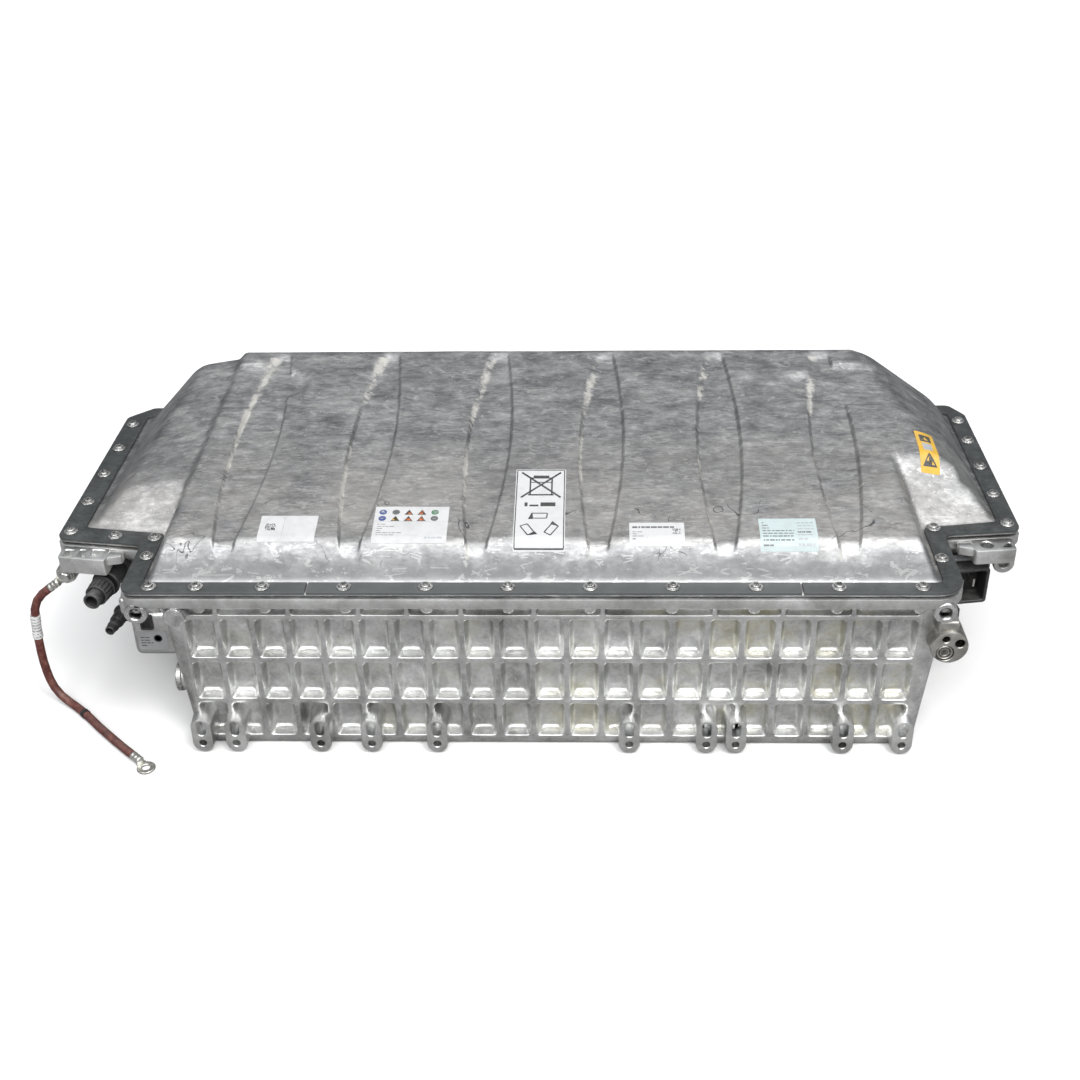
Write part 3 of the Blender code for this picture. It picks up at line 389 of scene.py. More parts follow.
def tag_material():
    """A white heat-shrink tag with rows of small printed bars."""
    work = material_work("cable_tag_film", 0.0, 0.35)
    axes = work.axes()
    rows = work.math("FRACT", work.times(axes["Z"], 260.0))
    broken = work.noise(900.0, 1.0)
    printed = work.times(work.math("LESS_THAN", rows, 0.35), work.math("GREATER_THAN", broken, 0.5))
    grain = work.grain(120.0, 0.8)
    white = work.ramp(grain["Tone"], ((0.0, 0.62), (0.5, 0.8), (1.0, 0.86)))
    work.paint(work.mix(printed, white, (0.08, 0.08, 0.09)))
    work.bump(grain["Height"], 0.0002, 0.3)
    return work.made


def ring_terminal(name, centre, normal, towards_cable, material):
    """A stamped ring with a neck and a barrel that two crimps have pressed into waists."""
    bm = bmesh.new()
    edge = 0.0005
    ring = [
        (0.0, RING_HOLE + edge), (edge, RING_HOLE), (RING_THICK - edge, RING_HOLE),
        (RING_THICK, RING_HOLE + edge), (RING_THICK, RING_RADIUS - edge), (RING_THICK - edge, RING_RADIUS),
        (edge, RING_RADIUS), (0.0, RING_RADIUS - edge), (0.0, RING_HOLE + edge)]
    lathe(bm, ring, 40, centre, normal)
    start = Vector(centre) + Vector(towards_cable) * CRIMP_START + Vector(normal) * BARREL_RADIUS
    barrel = [(0.0, 0.6), (0.0006, 0.86), (0.0015, 0.95), (0.003, 0.97), (0.0038, 0.84), (0.0054, 0.83),
              (0.0064, 0.97), (0.008, 0.98), (0.0088, 0.86), (0.0104, 0.86), (0.0112, 0.98), (0.0135, 1.0),
              (0.014, 0.94)]
    lathe(bm, [(along, share * BARREL_RADIUS) for along, share in barrel], 28, start, towards_cable)
    neck_side = Vector(normal).cross(Vector(towards_cable))
    corners = []
    for along, half in ((RING_RADIUS * 0.72, 0.0052), (CRIMP_START + 0.0025, 0.004)):
        for lift in (0.0003, RING_THICK + 0.0006):
            for side in (-1, 1):
                corners.append(bm.verts.new(Vector(centre) + Vector(towards_cable) * along
                                            + Vector(normal) * lift + neck_side * side * half))
    a, b, c, d, e, f, g, h = corners
    for face in ((a, b, d, c), (e, g, h, f), (a, e, f, b), (c, d, h, g), (a, c, g, e), (b, f, h, d)):
        bm.faces.new(face)
    piece = mesh_object(name + "_crimped", bm, material)
    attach(piece, "pack")
    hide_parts(name)
    return piece, start + Vector(towards_cable) * (BARREL_LENGTH + TOUCH)


TIN = plated_material("tinned_copper", (0.66, 0.65, 0.6), 0.34)
ZINC = plated_material("zinc_plating", (0.62, 0.62, 0.6), 0.32)

screw_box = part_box("bonding_bolt")
boss_at = Vector(((screw_box[0][0] + screw_box[1][0]) / 2, 0, (screw_box[0][2] + screw_box[1][2]) / 2))
terminal_face_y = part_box("upper_ring_terminal")[1][1]
upper_ring_at = (boss_at.x, terminal_face_y, boss_at.z)
upper_ring, cable_start = ring_terminal("upper_ring_terminal", upper_ring_at, (0, -1, 0), CABLE_LEAVES, TIN)
route = [cable_start, cable_start + CABLE_LEAVES * 0.006] + [Vector(p) for p in mm(CABLE_ROUTE)]
cable_points, cable_length = smooth_route(route, 0.0115)
cable_end_way = (cable_points[-1] - cable_points[-2])
cable_end_way.z = 0
cable_end_way.normalize()
ring_at = cable_points[-1] + cable_end_way * (CRIMP_START + BARREL_LENGTH + TOUCH)
lower_ring, _ = ring_terminal(
    "lower_ring_terminal", (ring_at.x, ring_at.y, 0.0003), (0, 0, 1), -cable_end_way, TIN)

cable_curve = bpy.data.curves.new("bonding_cable_sleeve", "CURVE")
cable_curve.dimensions = "3D"
cable_curve.bevel_depth = CABLE_DIAMETER / 2
cable_curve.bevel_resolution = 8
cable_curve.use_fill_caps = True
cable_spline = cable_curve.splines.new("POLY")
cable_spline.points.add(len(cable_points) - 1)
for spline_point, at in zip(cable_spline.points, cable_points):
    spline_point.co = (*at, 1.0)
cable_spline.use_smooth = True
cable_curve.materials.append(sheath_material())
cable = link(bpy.data.objects.new("bonding_cable_sleeve", cable_curve))


def sleeve_on_cable(name, first, last, thickness, material, sides=28, flare=0.0):
    """A short sleeve over the cable between two shares of its length, following its bend."""
    share = np.linspace(first, last, 12)
    spots = np.linspace(0, 1, len(cable_points))
    path = np.array(
        [[np.interp(s, spots, [p[axis] for p in cable_points]) for axis in range(3)] for s in share])
    bm = bmesh.new()
    loops = []
    inner = CABLE_DIAMETER / 2 - 0.0002
    outer = CABLE_DIAMETER / 2 + thickness
    for radius, order in ((outer, range(len(path))), (inner, reversed(range(len(path))))):
        for i in order:
            ahead = Vector(path[min(i + 1, len(path) - 1)]) - Vector(path[max(i - 1, 0)])
            turn = ahead.to_track_quat("Z", "Y").to_matrix()
            grown = radius + (flare * math.sin(7.0 * i) if radius == outer else 0.0)
            loops.append([bm.verts.new(Vector(path[i]) + turn @ point) for point in circle(grown, sides)])
    skin(bm, loops, True)
    return mesh_object(name, bm, material, 60)


tag = sleeve_on_cable("cable_tag_sleeve", 0.145, 0.245, 0.0007, tag_material(), flare=0.0002)
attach(tag, "pack")
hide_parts("cable_tag")


def tape_material():
    work = material_work("black_tape", 0.0, 0.55)
    grain = work.grain(220.0, 1.0)
    work.paint(work.ramp(grain["Tone"], ((0.1, 0.008), (0.9, 0.045))))
    work.bump(grain["Height"], 0.0003, 0.5)
    return work.made


tape = sleeve_on_cable("cable_tape_band", 0.655, 0.675, 0.0005, tape_material())
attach(tape, "pack")

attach(cable, "pack")
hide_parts("bonding_cable")
tuple(cable_start)


# ---------------------------------------------------------------- floor and light
# A pale seamless floor under a wide soft ceiling of light, with a second soft light on the right. The
# floor gives back less light than it shows, so faces that look down stay dark as they do outdoors.
scene.view_settings.view_transform = "Standard"

floor_bm = bmesh.new()
bmesh.ops.create_grid(floor_bm, x_segments=8, y_segments=8, size=9.0)
floor_work = material_work("pale_floor", 0.0, 0.8)
floor_pale = floor_work.ramp(floor_work.grain(3.0, 0.2)["Tone"], ((0.0, 0.93), (1.0, 0.95)))
seen = floor_work.new("LightPath").outputs["Is Camera Ray"]
floor_work.paint(floor_work.mix(seen, (0.24, 0.24, 0.24), floor_pale))
# Painted light: for the camera only, the floor glows, from nothing near the pack to strongly far from it, so
# the far floor shows white while the pack's shadow stays dark.
reach = floor_work.new("VectorMath")
reach.operation = "LENGTH"
floor_work.here(reach.inputs[0])
glow = floor_work.ramp(
    floor_work.times(reach.outputs["Value"], 0.25), ((0.12, 0.0), (0.22, 0.12), (0.5, 0.35), (1.0, 0.8)))
floor_work.feed("Emission Color", floor_work.mix(seen, (0.0, 0.0, 0.0), glow))
set_inputs(floor_work.shader, Emission_Strength=1.0)
floor = mesh_object("floor", floor_bm, floor_work.made)

world = bpy.data.worlds.new("studio")
world.use_nodes = True
sky = NodeWork(world.node_tree)
seen = sky.new("LightPath").outputs["Is Camera Ray"]
sky.link(sky.mix(seen, (0.2, 0.205, 0.215), (1.0, 1.0, 1.0)), sky.nodes["Background"].inputs["Color"])
scene.world = world


def soft_light(name, at, look_at, width, depth, watts, tint=(1.0, 1.0, 1.0)):
    lamp = bpy.data.lights.new(name, "AREA")
    lamp.shape = "RECTANGLE"
    lamp.size, lamp.size_y = width, depth
    lamp.energy = watts
    lamp.color = tint
    obj = link(bpy.data.objects.new(name, lamp))
    obj.location = at
    obj.rotation_euler = (Vector(look_at) - Vector(at)).to_track_quat("-Z", "Y").to_euler()


soft_light("ceiling_front", (0.6, -1.2, 3.4), (0.6, -1.2, 0.0), 7.0, 5.0, 76.0)
soft_light("ceiling_strip", (0.0, -0.5, 3.3), (0.0, -0.5, 0.0), 8.0, 1.4, 44.0)
soft_light("ceiling_back", (0.0, 3.6, 3.4), (0.0, 3.6, 0.0), 8.0, 4.6, 36.0)
soft_light("high_front", (-0.2, -3.0, 2.9), (0.0, 0.0, 0.15), 5.4, 2.5, 122.0)
soft_light("low_front", (0.0, -5.2, 1.5), (0.0, 0.0, 0.15), 7.5, 2.2, 32.0)
soft_light("key", (0.9, -1.6, 3.0), (0.0, 0.0, 0.15), 0.8, 0.8, 40.0, (1.0, 0.985, 0.96))


# ---------------------------------------------------------------- cover
# One deep-drawn aluminium sheet, 2 mm thick, whose rim lies on the tray. Its roof rises to the back
# and has six lens-shaped beads pressed in; its two ends step down over the shallow tubs.
RIM_CORNERS = mm(
    ((-406, -202, 16), (418, -202, 28), (418, -94, 8), (497, -86, 12), (497, 176, 10), (482, 202, 10),
     (-470, 202, 10), (-497, 176, 10), (-497, -100, 12), (-406, -113, 8)))
WALL_CORNERS = mm(
    ((-381, -178, 3), (394, -178, 3), (394, -76, 10), (472, -64, 3), (472, 176, 3), (-468, 176, 3),
     (-468, -74, 3), (-381, -87, 10)))
RIM_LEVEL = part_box("cover")[0][2] + 0.002
SHEET_THICK = 0.0019
ROOF_FRONT_Y, ROOF_FRONT_Z, ROOF_SLOPE = -0.175, 0.233, 0.163
BEAD_XS = (-0.3, -0.1755, -0.051, 0.0685, 0.192, 0.312)
BEAD_LEAN, BEAD_DEPTH = 0.029, 0.0044
BEAD_FRONT, BEAD_REAR = -0.168, 0.157
REAR_ARC_Y, REAR_ARC = 0.1635, 0.012


def rounded(corners, steps=6):
    """Outline points of a polygon whose corners (x, y, radius) are rounded by arcs."""
    points = []
    for i, (x, y, radius) in enumerate(corners):
        corner = Vector((x, y))
        before = (Vector(corners[i - 1][:2]) - corner).normalized()
        after = (Vector(corners[(i + 1) % len(corners)][:2]) - corner).normalized()
        half = before.angle(after) / 2
        reach = radius / math.tan(half)
        centre = corner + (before + after).normalized() * radius / math.sin(half)
        start = corner + before * reach - centre
        end = corner + after * reach - centre
        sweep = start.angle_signed(end)
        for k in range(steps + 1):
            points.append(centre + Matrix.Rotation(-sweep * k / steps, 2) @ start)
    return points


def offset(corners, distance):
    """The same corners moved outwards by a distance, or inwards if it is negative."""
    moved = []
    for i, (x, y, radius) in enumerate(corners):
        corner = Vector((x, y))
        way_in = (corner - Vector(corners[i - 1][:2])).normalized()
        way_out = (Vector(corners[(i + 1) % len(corners)][:2]) - corner).normalized()
        normal_in = Vector((way_in.y, -way_in.x))
        normal_out = Vector((way_out.y, -way_out.x))
        step = (normal_in + normal_out) * distance / (1 + normal_in.dot(normal_out))
        grown = radius + (distance if way_in.cross(way_out) > 0 else -distance)
        moved.append((*(corner + step), max(0.002, grown)))
    return moved


def soft_min(a, b, blend):
    share = np.clip(0.5 + 0.5 * (b - a) / blend, 0, 1)
    return b * (1 - share) + a * share - blend * share * (1 - share)


def soft_max(a, b, blend):
    return -soft_min(-a, -b, blend)


def ease(value, low, high):
    share = np.clip((value - low) / (high - low), 0, 1)
    return share * share * (3 - 2 * share)


def bead_shape(index, y):
    """Centre line, half width and left flank width of one bead at depths y."""
    share = np.clip((y - BEAD_FRONT) / (BEAD_REAR - BEAD_FRONT), 0, 1)
    centre = BEAD_XS[index] + BEAD_LEAN * y
    half = 0.0092 + 0.0135 * np.sin(np.pi * share) ** 0.9
    left_flank = 0.0042 + 0.0085 * ease(share, 0.55, 0.95)
    return centre, half, left_flank


def half_lobe(x, y, centre, radius, side):
    """Inside distance of a half-round lobe on one side of a bead."""
    away = np.hypot(x - centre[0], y - centre[1])
    return np.minimum(radius - away, side * (x - centre[0]) + 0.03)


def block_inside(x, y, x0, x1, y0, y1, corner):
    across = soft_min(x - x0, x1 - x, corner)
    along = soft_min(y - y0, y1 - y, corner)
    return soft_min(across, along, corner)


def bead_recess(x, y):
    """How deep the pressed beads are at a point, and how much pale crust and painted highlight lies on their
    left flanks.
    """
    ends = soft_min(y - BEAD_FRONT, BEAD_REAR - y, 0.004)
    middle = ease(y, -0.049, -0.042) * (1 - ease(y, 0.047, 0.054))
    deep, crust_and_highlight = np.zeros_like(x), np.zeros_like(x)
    for index in range(len(BEAD_XS)):
        centre, half, flank = bead_shape(index, y)
        from_left = (x - (centre - half)) / flank
        from_right = ((centre + half) - x) / 0.0042
        inside = soft_min(soft_min(from_left, from_right, 0.8), ends / 0.0042, 1.2)
        if index == 0:
            inside = soft_max(inside, half_lobe(x, y, (-0.283, 0.104), 0.022, 1) / 0.0042, 0.5)
            inside = soft_max(inside, block_inside(x, y, -0.38, -0.3, 0.06, 0.14, 0.008) / 0.0042, 0.5)
        if index == 5:
            inside = soft_max(inside, half_lobe(x, y, (0.297, 0.099), 0.022, -1) / 0.0042, 0.5)
            inside = soft_max(inside, block_inside(x, y, 0.312, 0.384, 0.063, 0.137, 0.008) / 0.0042, 0.5)
        level = ease(inside, -0.5, 0.5)
        deep = np.maximum(deep, level * (1.0 + 0.22 * middle))
        # Pale crust along the flanks, which on the left flank is also a painted highlight where that flank
        # faces the light.
        on_left = np.exp(-((from_left - 0.1) / 0.75) ** 2)
        on_right = 0.62 * np.exp(-((from_right + 0.2) / 0.9) ** 2)
        near_end = 0.8 * np.exp(-((y - BEAD_FRONT) / 0.004) ** 2) * (np.abs(x - centre) < half)
        crust_and_highlight = np.maximum(crust_and_highlight, np.maximum(np.maximum(on_left, on_right), near_end) * (ends > -0.003))
    return deep * BEAD_DEPTH, crust_and_highlight


def cover_level(x, y):
    """Height of the cover's outside above the floor."""
    roof = ROOF_FRONT_Z + ROOF_SLOPE * (y - ROOF_FRONT_Y)
    deep, _ = bead_recess(x, y)
    waves = 0.00022 * np.sin(31 * x + 9 * y) * np.sin(23 * y - 7 * x + 1.0)
    roof = roof - deep + waves + 0.00007 * np.sin(83 * x) * np.sin(61 * y + 2.0)
    front = RIM_LEVEL + 2.45 * (y + 0.1795)
    left_wall = RIM_LEVEL + 2.5 * (x + 0.381)
    terrace = ROOF_FRONT_Z + ROOF_SLOPE * (y - ROOF_FRONT_Y) - 0.0085 + 0.18 * (x + 0.352)
    left_slope = RIM_LEVEL + 1.07 * (x + 0.4665)
    left_facet = RIM_LEVEL + 1.25 * (y + 0.0735 + 0.149 * (x + 0.468))
    left_end = soft_min(soft_min(terrace, left_slope, 0.01), left_facet, 0.007)
    left = soft_max(left_wall, left_end, 0.007)
    right_wall = RIM_LEVEL + 2.5 * (0.394 - x)
    right_slope = soft_min(0.2915 - 0.72 * (x - 0.362), RIM_LEVEL + 1.6 * (0.4735 - x), 0.014)
    right_facet = RIM_LEVEL + 1.3 * (y + 0.0755 - 0.154 * (x - 0.394))
    pad = 0.0055 * ease(block_inside(x, y, 0.384, 0.44, -0.045, 0.06, 0.008), -0.003, 0.004)
    strake = 0.0035 * ease(block_inside(x, y, 0.35, 0.45, -0.036, 0.15, 0.01), -0.004, 0.005)
    right_end = soft_min(right_slope + pad - 0.002 + 0.5 * strake, right_facet, 0.006)
    right = soft_max(right_wall, right_end, 0.007)
    level = soft_min(soft_min(roof, front, 0.022), soft_min(left, right, 0.001), 0.014)
    return soft_max(level, np.full_like(level, RIM_LEVEL), 0.0055)


def column_xs(y):
    """Where the mesh columns stand at one depth: they follow the edges of the beads."""
    flank_steps = np.array((-0.62, -0.4, -0.2, 0.0, 0.2, 0.4, 0.62))
    edges = []
    for index in range(len(BEAD_XS)):
        centre, half, flank = bead_shape(index, y)
        edges.append((centre - half + flank_steps * flank, centre + half + flank_steps * 0.0042))
    columns = list(np.linspace(-0.495, edges[0][0][0], 56)[:-1])
    for index, (left, right) in enumerate(edges):
        columns += list(left) + list(np.linspace(left[-1], right[0], 6)[1:-1]) + list(right)
        if index < len(edges) - 1:
            columns += list(
                np.linspace(right[-1], edges[index + 1][0][0], 14 if index in (0, 4) else 10)[1:-1])
    return np.array(columns + list(np.linspace(edges[-1][1][-1], 0.495, 56)[1:]))


def make_cover_mesh():
    depths = np.concatenate(
        ((-0.2, -0.193, -0.187, -0.184), np.arange(-0.1822, -0.156, 0.0013),
         np.arange(-0.156, -0.094, 0.0036), np.arange(-0.094, -0.034, 0.0022),
         np.arange(-0.034, 0.158, 0.0042), (0.16, REAR_ARC_Y)))
    rows_xyz, rows_crust_and_highlight = [], []
    for y in depths:
        x = column_xs(y)
        here = np.full_like(x, y)
        rows_xyz.append(np.stack((x, here, cover_level(x, here)), 1))
        rows_crust_and_highlight.append(bead_recess(x, here)[1])
    x, z = rows_xyz[-1][:, 0], rows_xyz[-1][:, 2]
    rise = z - RIM_LEVEL
    arc = np.minimum(REAR_ARC, 0.45 * rise)
    foot = np.minimum(0.004, 0.3 * rise)
    rear = []
    for turn in np.radians((12, 26, 40, 54, 66, 78, 90)):
        rear.append((REAR_ARC_Y + REAR_ARC * math.sin(turn), z - arc * (1 - math.cos(turn))))
    for share in (0.2, 0.4, 0.6, 0.8, 1.0):
        low = RIM_LEVEL + foot
        rear.append((REAR_ARC_Y + REAR_ARC + 0.002 * share, (z - arc) * (1 - share) + low * share))
    for turn in np.radians((30, 60, 90)):
        rear.append((REAR_ARC_Y + REAR_ARC + 0.002 + 0.004 * (1 - math.cos(turn)),
                     RIM_LEVEL + foot * (1 - math.sin(turn))))
    for y in (0.187, 0.193, 0.2):
        rear.append((y, np.full_like(x, RIM_LEVEL)))
    for y, levels in rear:
        rows_xyz.append(np.stack((x, np.full_like(x, y), levels), 1))
        rows_crust_and_highlight.append(np.zeros_like(x))

    outline = [Vector((p[0], p[1])) for p in rounded(offset(RIM_CORNERS, -0.002))]
    grid = np.array(rows_xyz)
    rows, columns = grid.shape[:2]
    inside = outline_distance(grid[:, :, :2].reshape(-1, 2), outline).reshape(rows, columns)
    bm = bmesh.new()
    # This layer carries the beads' pale crust together with a painted highlight on their flanks.
    crust_and_highlight_layer = bm.verts.layers.float.new("crust_and_highlight")
    verts = {}
    for i in range(rows - 1):
        for j in range(columns - 1):
            cell = ((i, j), (i, j + 1), (i + 1, j + 1), (i + 1, j))
            if np.mean([inside[c] for c in cell]) < 0:
                continue
            for c in cell:
                if c not in verts:
                    verts[c] = bm.verts.new(grid[c])
                    verts[c][crust_and_highlight_layer] = rows_crust_and_highlight[c[0]][c[1]]
            bm.faces.new([verts[c] for c in cell])
    for edge in [e for e in bm.edges if len(e.link_faces) == 1]:
        for vert in edge.verts:
            spot = nearest_on_outline(Vector((vert.co.x, vert.co.y)), outline)
            vert.co = (spot.x, spot.y, RIM_LEVEL)
    return bm


def outline_distance(points, outline):
    """Distance of many points to a closed outline, positive inside it."""
    best = np.full(len(points), 9.0)
    crossings = np.zeros(len(points), int)
    for a, b in zip(outline, outline[1:] + outline[:1]):
        span = np.array(b - a)
        if not span.any():
            continue
        start = points - np.array(a)
        share = np.clip(start @ span / (span @ span), 0, 1)
        best = np.minimum(best, np.hypot(*(start - share[:, None] * span).T))
        straddles = (a.y > points[:, 1]) != (b.y > points[:, 1])
        if span[1]:
            crossings += straddles & (points[:, 0] < a.x + span[0] * (points[:, 1] - a.y) / span[1])
    return np.where(crossings % 2 == 1, best, -best)


def nearest_on_outline(point, outline):
    best, spot = 9.0, point
    for a, b in zip(outline, outline[1:] + outline[:1]):
        span = b - a
        if span.length == 0:
            continue
        share = min(1.0, max(0.0, (point - a).dot(span) / span.length_squared))
        candidate = a + span * share
        if (candidate - point).length < best:
            best, spot = (candidate - point).length, candidate
    return spot


def edge_wear(work, low=0.52, high=0.62):
    """Mask of convex edges, where handling has rubbed the surface bright."""
    return work.ramp(work.new("NewGeometry").outputs["Pointiness"], ((low, 0.0), (high, 1.0)))


def cover_material():
    """Drawn sheet: mottled grey, scuffed sideways, with pale crust and a painted highlight along the beads,
    brown dust at the front and thin dark scratches near the front edge."""
    work = material_work("drawn_aluminium", 1.0, 0.42)
    grain = work.grain(42.0, 1.15, 2.4)
    speckle = work.grain(120.0, 1.8, 2.6)
    base = work.ramp(grain["Tone"], ((0.05, (0.225, 0.23, 0.24)), (0.45, (0.315, 0.32, 0.33)),
                                     (0.7, (0.385, 0.39, 0.395)), (1.0, (0.52, 0.52, 0.52))))
    fine = work.ramp(speckle["Tone"], ((0.0, 0.62), (0.5, 0.98), (0.8, 1.12), (1.0, 1.5)))
    colour = work.mix(0.8, base, fine, "MULTIPLY")
    axes = work.axes()
    calm = work.ramp(work.plus(axes["Y"], 0.5), ((0.324, 0.65), (0.334, 0.0)))
    colour = work.mix(calm, colour, (0.37, 0.372, 0.376))
    rubs = work.scratches(70.0, 0.022, 0.75)
    colour = work.mix(work.times(rubs, 0.45), colour, (0.72, 0.72, 0.71))

    cloud = work.noise(11.0, 7.0, 0.72)
    near_front = work.ramp(
        work.plus(axes["Y"], 0.5), ((0.333, 0.0), (0.35, 0.85), (0.42, 0.65), (0.52, 0.12), (0.62, 0.0)))
    brown = work.times(near_front, work.ramp(cloud, ((0.34, 0.12), (0.66, 0.8))))
    colour = work.mix(brown, colour, (0.335, 0.315, 0.285))

    flow = work.noise(190.0, 5.0, 0.75)
    # Pale crust along the beads, partly a painted highlight on their lit flanks: a lighter, rougher colour
    # from the crust attribute.
    crust_and_highlight = work.attribute("crust_and_highlight")
    patchy = work.times(crust_and_highlight, work.ramp(cloud, ((0.38, 0.2), (0.6, 0.7))))
    broken_crust_and_highlight = work.plus(patchy, work.times(flow, 0.8))
    crust_and_highlight_mask = work.ramp(broken_crust_and_highlight, ((0.76, 0.0), (1.02, 0.85)))
    colour = work.mix(crust_and_highlight_mask, colour, (0.52, 0.51, 0.475))
    dust = work.dust(0.42, 38.0)
    colour = work.mix(dust, colour, (0.46, 0.455, 0.44))

    squiggle = work.noise(13.0, 2.5, 0.45, Distortion=1.2)
    off_line = work.math("ABSOLUTE", work.math("SUBTRACT", squiggle, 0.5))
    thin = work.math("LESS_THAN", off_line, 0.0045)
    band = work.ramp(work.plus(axes["Y"], 0.5), ((0.327, 0.0), (0.331, 0.8), (0.385, 0.8), (0.41, 0.0)))
    broken = work.ramp(flow, ((0.36, 0.0), (0.42, 1.0)))
    few = work.noise(17.0, 1.0)
    chosen = work.ramp(few, ((0.5, 0.0), (0.53, 1.0)))
    ink = work.times(work.times(thin, band), work.times(broken, chosen))
    colour = work.mix(ink, colour, (0.055, 0.055, 0.06))
    work.paint(colour)

    covered = work.math("MAXIMUM", work.math("MAXIMUM", crust_and_highlight_mask, brown), dust)
    work.feed("Metallic", work.math("SUBTRACT", 1.0, work.times(covered, 0.8)))
    rough = work.ramp(grain["Fine"], ((0.25, 0.36), (0.75, 0.5)))
    work.feed("Roughness", work.plus(rough, work.times(covered, 0.3)))
    height = work.plus(work.times(speckle["Height"], 0.7), work.times(crust_and_highlight_mask, 0.5))
    work.bump(height, 0.0007, 0.35)
    return work.made


cover = mesh_object("cover_sheet", make_cover_mesh(), cover_material(), None)
if cover.data.polygons[0].normal.z < 0:
    cover.data.flip_normals()
thickness = cover.modifiers.new("sheet thickness", "SOLIDIFY")
thickness.thickness = SHEET_THICK
thickness.offset = -1.0
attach(cover, "pack")
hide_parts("cover")


# ---------------------------------------------------------------- cover seal
# A flat ring of black foam rubber between the tray and the cover's rim, squeezed by the screws.
def rubber_material():
    work = material_work("foam_rubber", 0.0, 0.8)
    grain = work.grain(260.0, 1.2)
    work.paint(work.ramp(grain["Tone"], ((0.1, 0.012), (0.9, 0.055))))
    return work.surface(grain, (0.2, 0.7), (0.8, 0.92), 0.0005, 0.5)


RUBBER = rubber_material()


# ---------------------------------------------------------------- clamp strips
# Four flat steel strips, dark coated, that spread the screws' load round the cover's rim. Their
# corners are rounded and their coating is rubbed thin along the edges.
STRIP_SPLITS = (-0.221, 0.26)
STRIP_SLOT = 0.001
STRIP_LOW, STRIP_HIGH = (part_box("clamp_strip_front")[k][2] for k in (0, 1))


def strip_material():
    work = material_work("dark_coated_steel", 0.25, 0.55)
    set_inputs(work.shader, Specular_IOR_Level=0.3)
    grain = work.grain(60.0, 1.3)
    colour = work.ramp(
        grain["Tone"], ((0.1, (0.01, 0.012, 0.013)), (0.5, (0.019, 0.023, 0.025)),
                        (0.95, (0.05, 0.056, 0.059))))
    marks = work.scratches(160.0, 0.03, 0.85)
    worn = work.math("MAXIMUM", edge_wear(work, 0.505, 0.6), work.times(marks, 0.5))
    colour = work.mix(work.times(worn, 0.55), colour, (0.16, 0.17, 0.17))
    dust = work.dust(0.25, 70.0)
    work.paint(work.mix(dust, colour, (0.16, 0.16, 0.155)))
    return work.surface(grain, (0.25, 0.36), (0.8, 0.62), 0.0003, 0.35)


def slab(bm, points, low, high, edge):
    """A flat plate with rounded upper edges, from an anticlockwise outline."""
    count = len(points)
    normals = []
    for i, point in enumerate(points):
        way = (Vector(points[(i + 1) % count][:2]) - Vector(points[i - 1][:2])).normalized()
        normals.append(Vector((way.y, -way.x)))
    rings = []
    for level, inset in ((low, 0.0), (high - edge, 0.0), (high - 0.3 * edge, 0.3 * edge), (high, edge)):
        rings.append([bm.verts.new((p[0] - n.x * inset, p[1] - n.y * inset, level))
                      for p, n in zip(points, normals)])
    bm.faces.new(rings[0][::-1])
    bm.faces.new(rings[-1])
    skin(bm, rings)


def cut_outline(points, x_cut, keep_left):
    """The part of a closed outline on one side of an x, with its two crossings, in order."""
    kept = []
    for a, b in zip(points, points[1:] + points[:1]):
        if (a.x < x_cut) == keep_left:
            kept.append(a)
        if (a.x < x_cut) != (b.x < x_cut):
            share = (x_cut - a.x) / (b.x - a.x)
            kept.append(a + (b - a) * share)
    on_cut = [abs(point.x - x_cut) < 1e-6 for point in kept]
    start = next(i for i in range(len(kept)) if on_cut[i] and on_cut[i - 1])
    return kept[start:] + kept[:start]


STRIP_STEEL = strip_material()
strip_outer = [Vector(p[:2]) for p in rounded(offset(RIM_CORNERS, -0.001), 8)]
strip_inner = [Vector(p[:2]) for p in rounded(offset(WALL_CORNERS, 0.004), 5)]


def clamp_strip(name, points):
    bm = bmesh.new()
    slab(bm, points, STRIP_LOW, STRIP_HIGH, 0.0007)
    strip = mesh_object(name + "_plate", bm, STRIP_STEEL, 35)
    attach(strip, "pack")
    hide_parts(name)


for name, x_cut, keep_left in (("clamp_strip_left", STRIP_SPLITS[0] - STRIP_SLOT, True),
                               ("clamp_strip_right", STRIP_SPLITS[1] + STRIP_SLOT, False)):
    outer, inner = (cut_outline(outline, x_cut, keep_left) for outline in (strip_outer, strip_inner))
    clamp_strip(name, outer + inner[::-1])
for name in ("clamp_strip_front", "clamp_strip_rear"):
    low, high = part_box(name)
    clamp_strip(name, [Vector((low.x, low.y)), Vector((high.x, low.y)), Vector((high.x, high.y)),
                       Vector((low.x, high.y))])


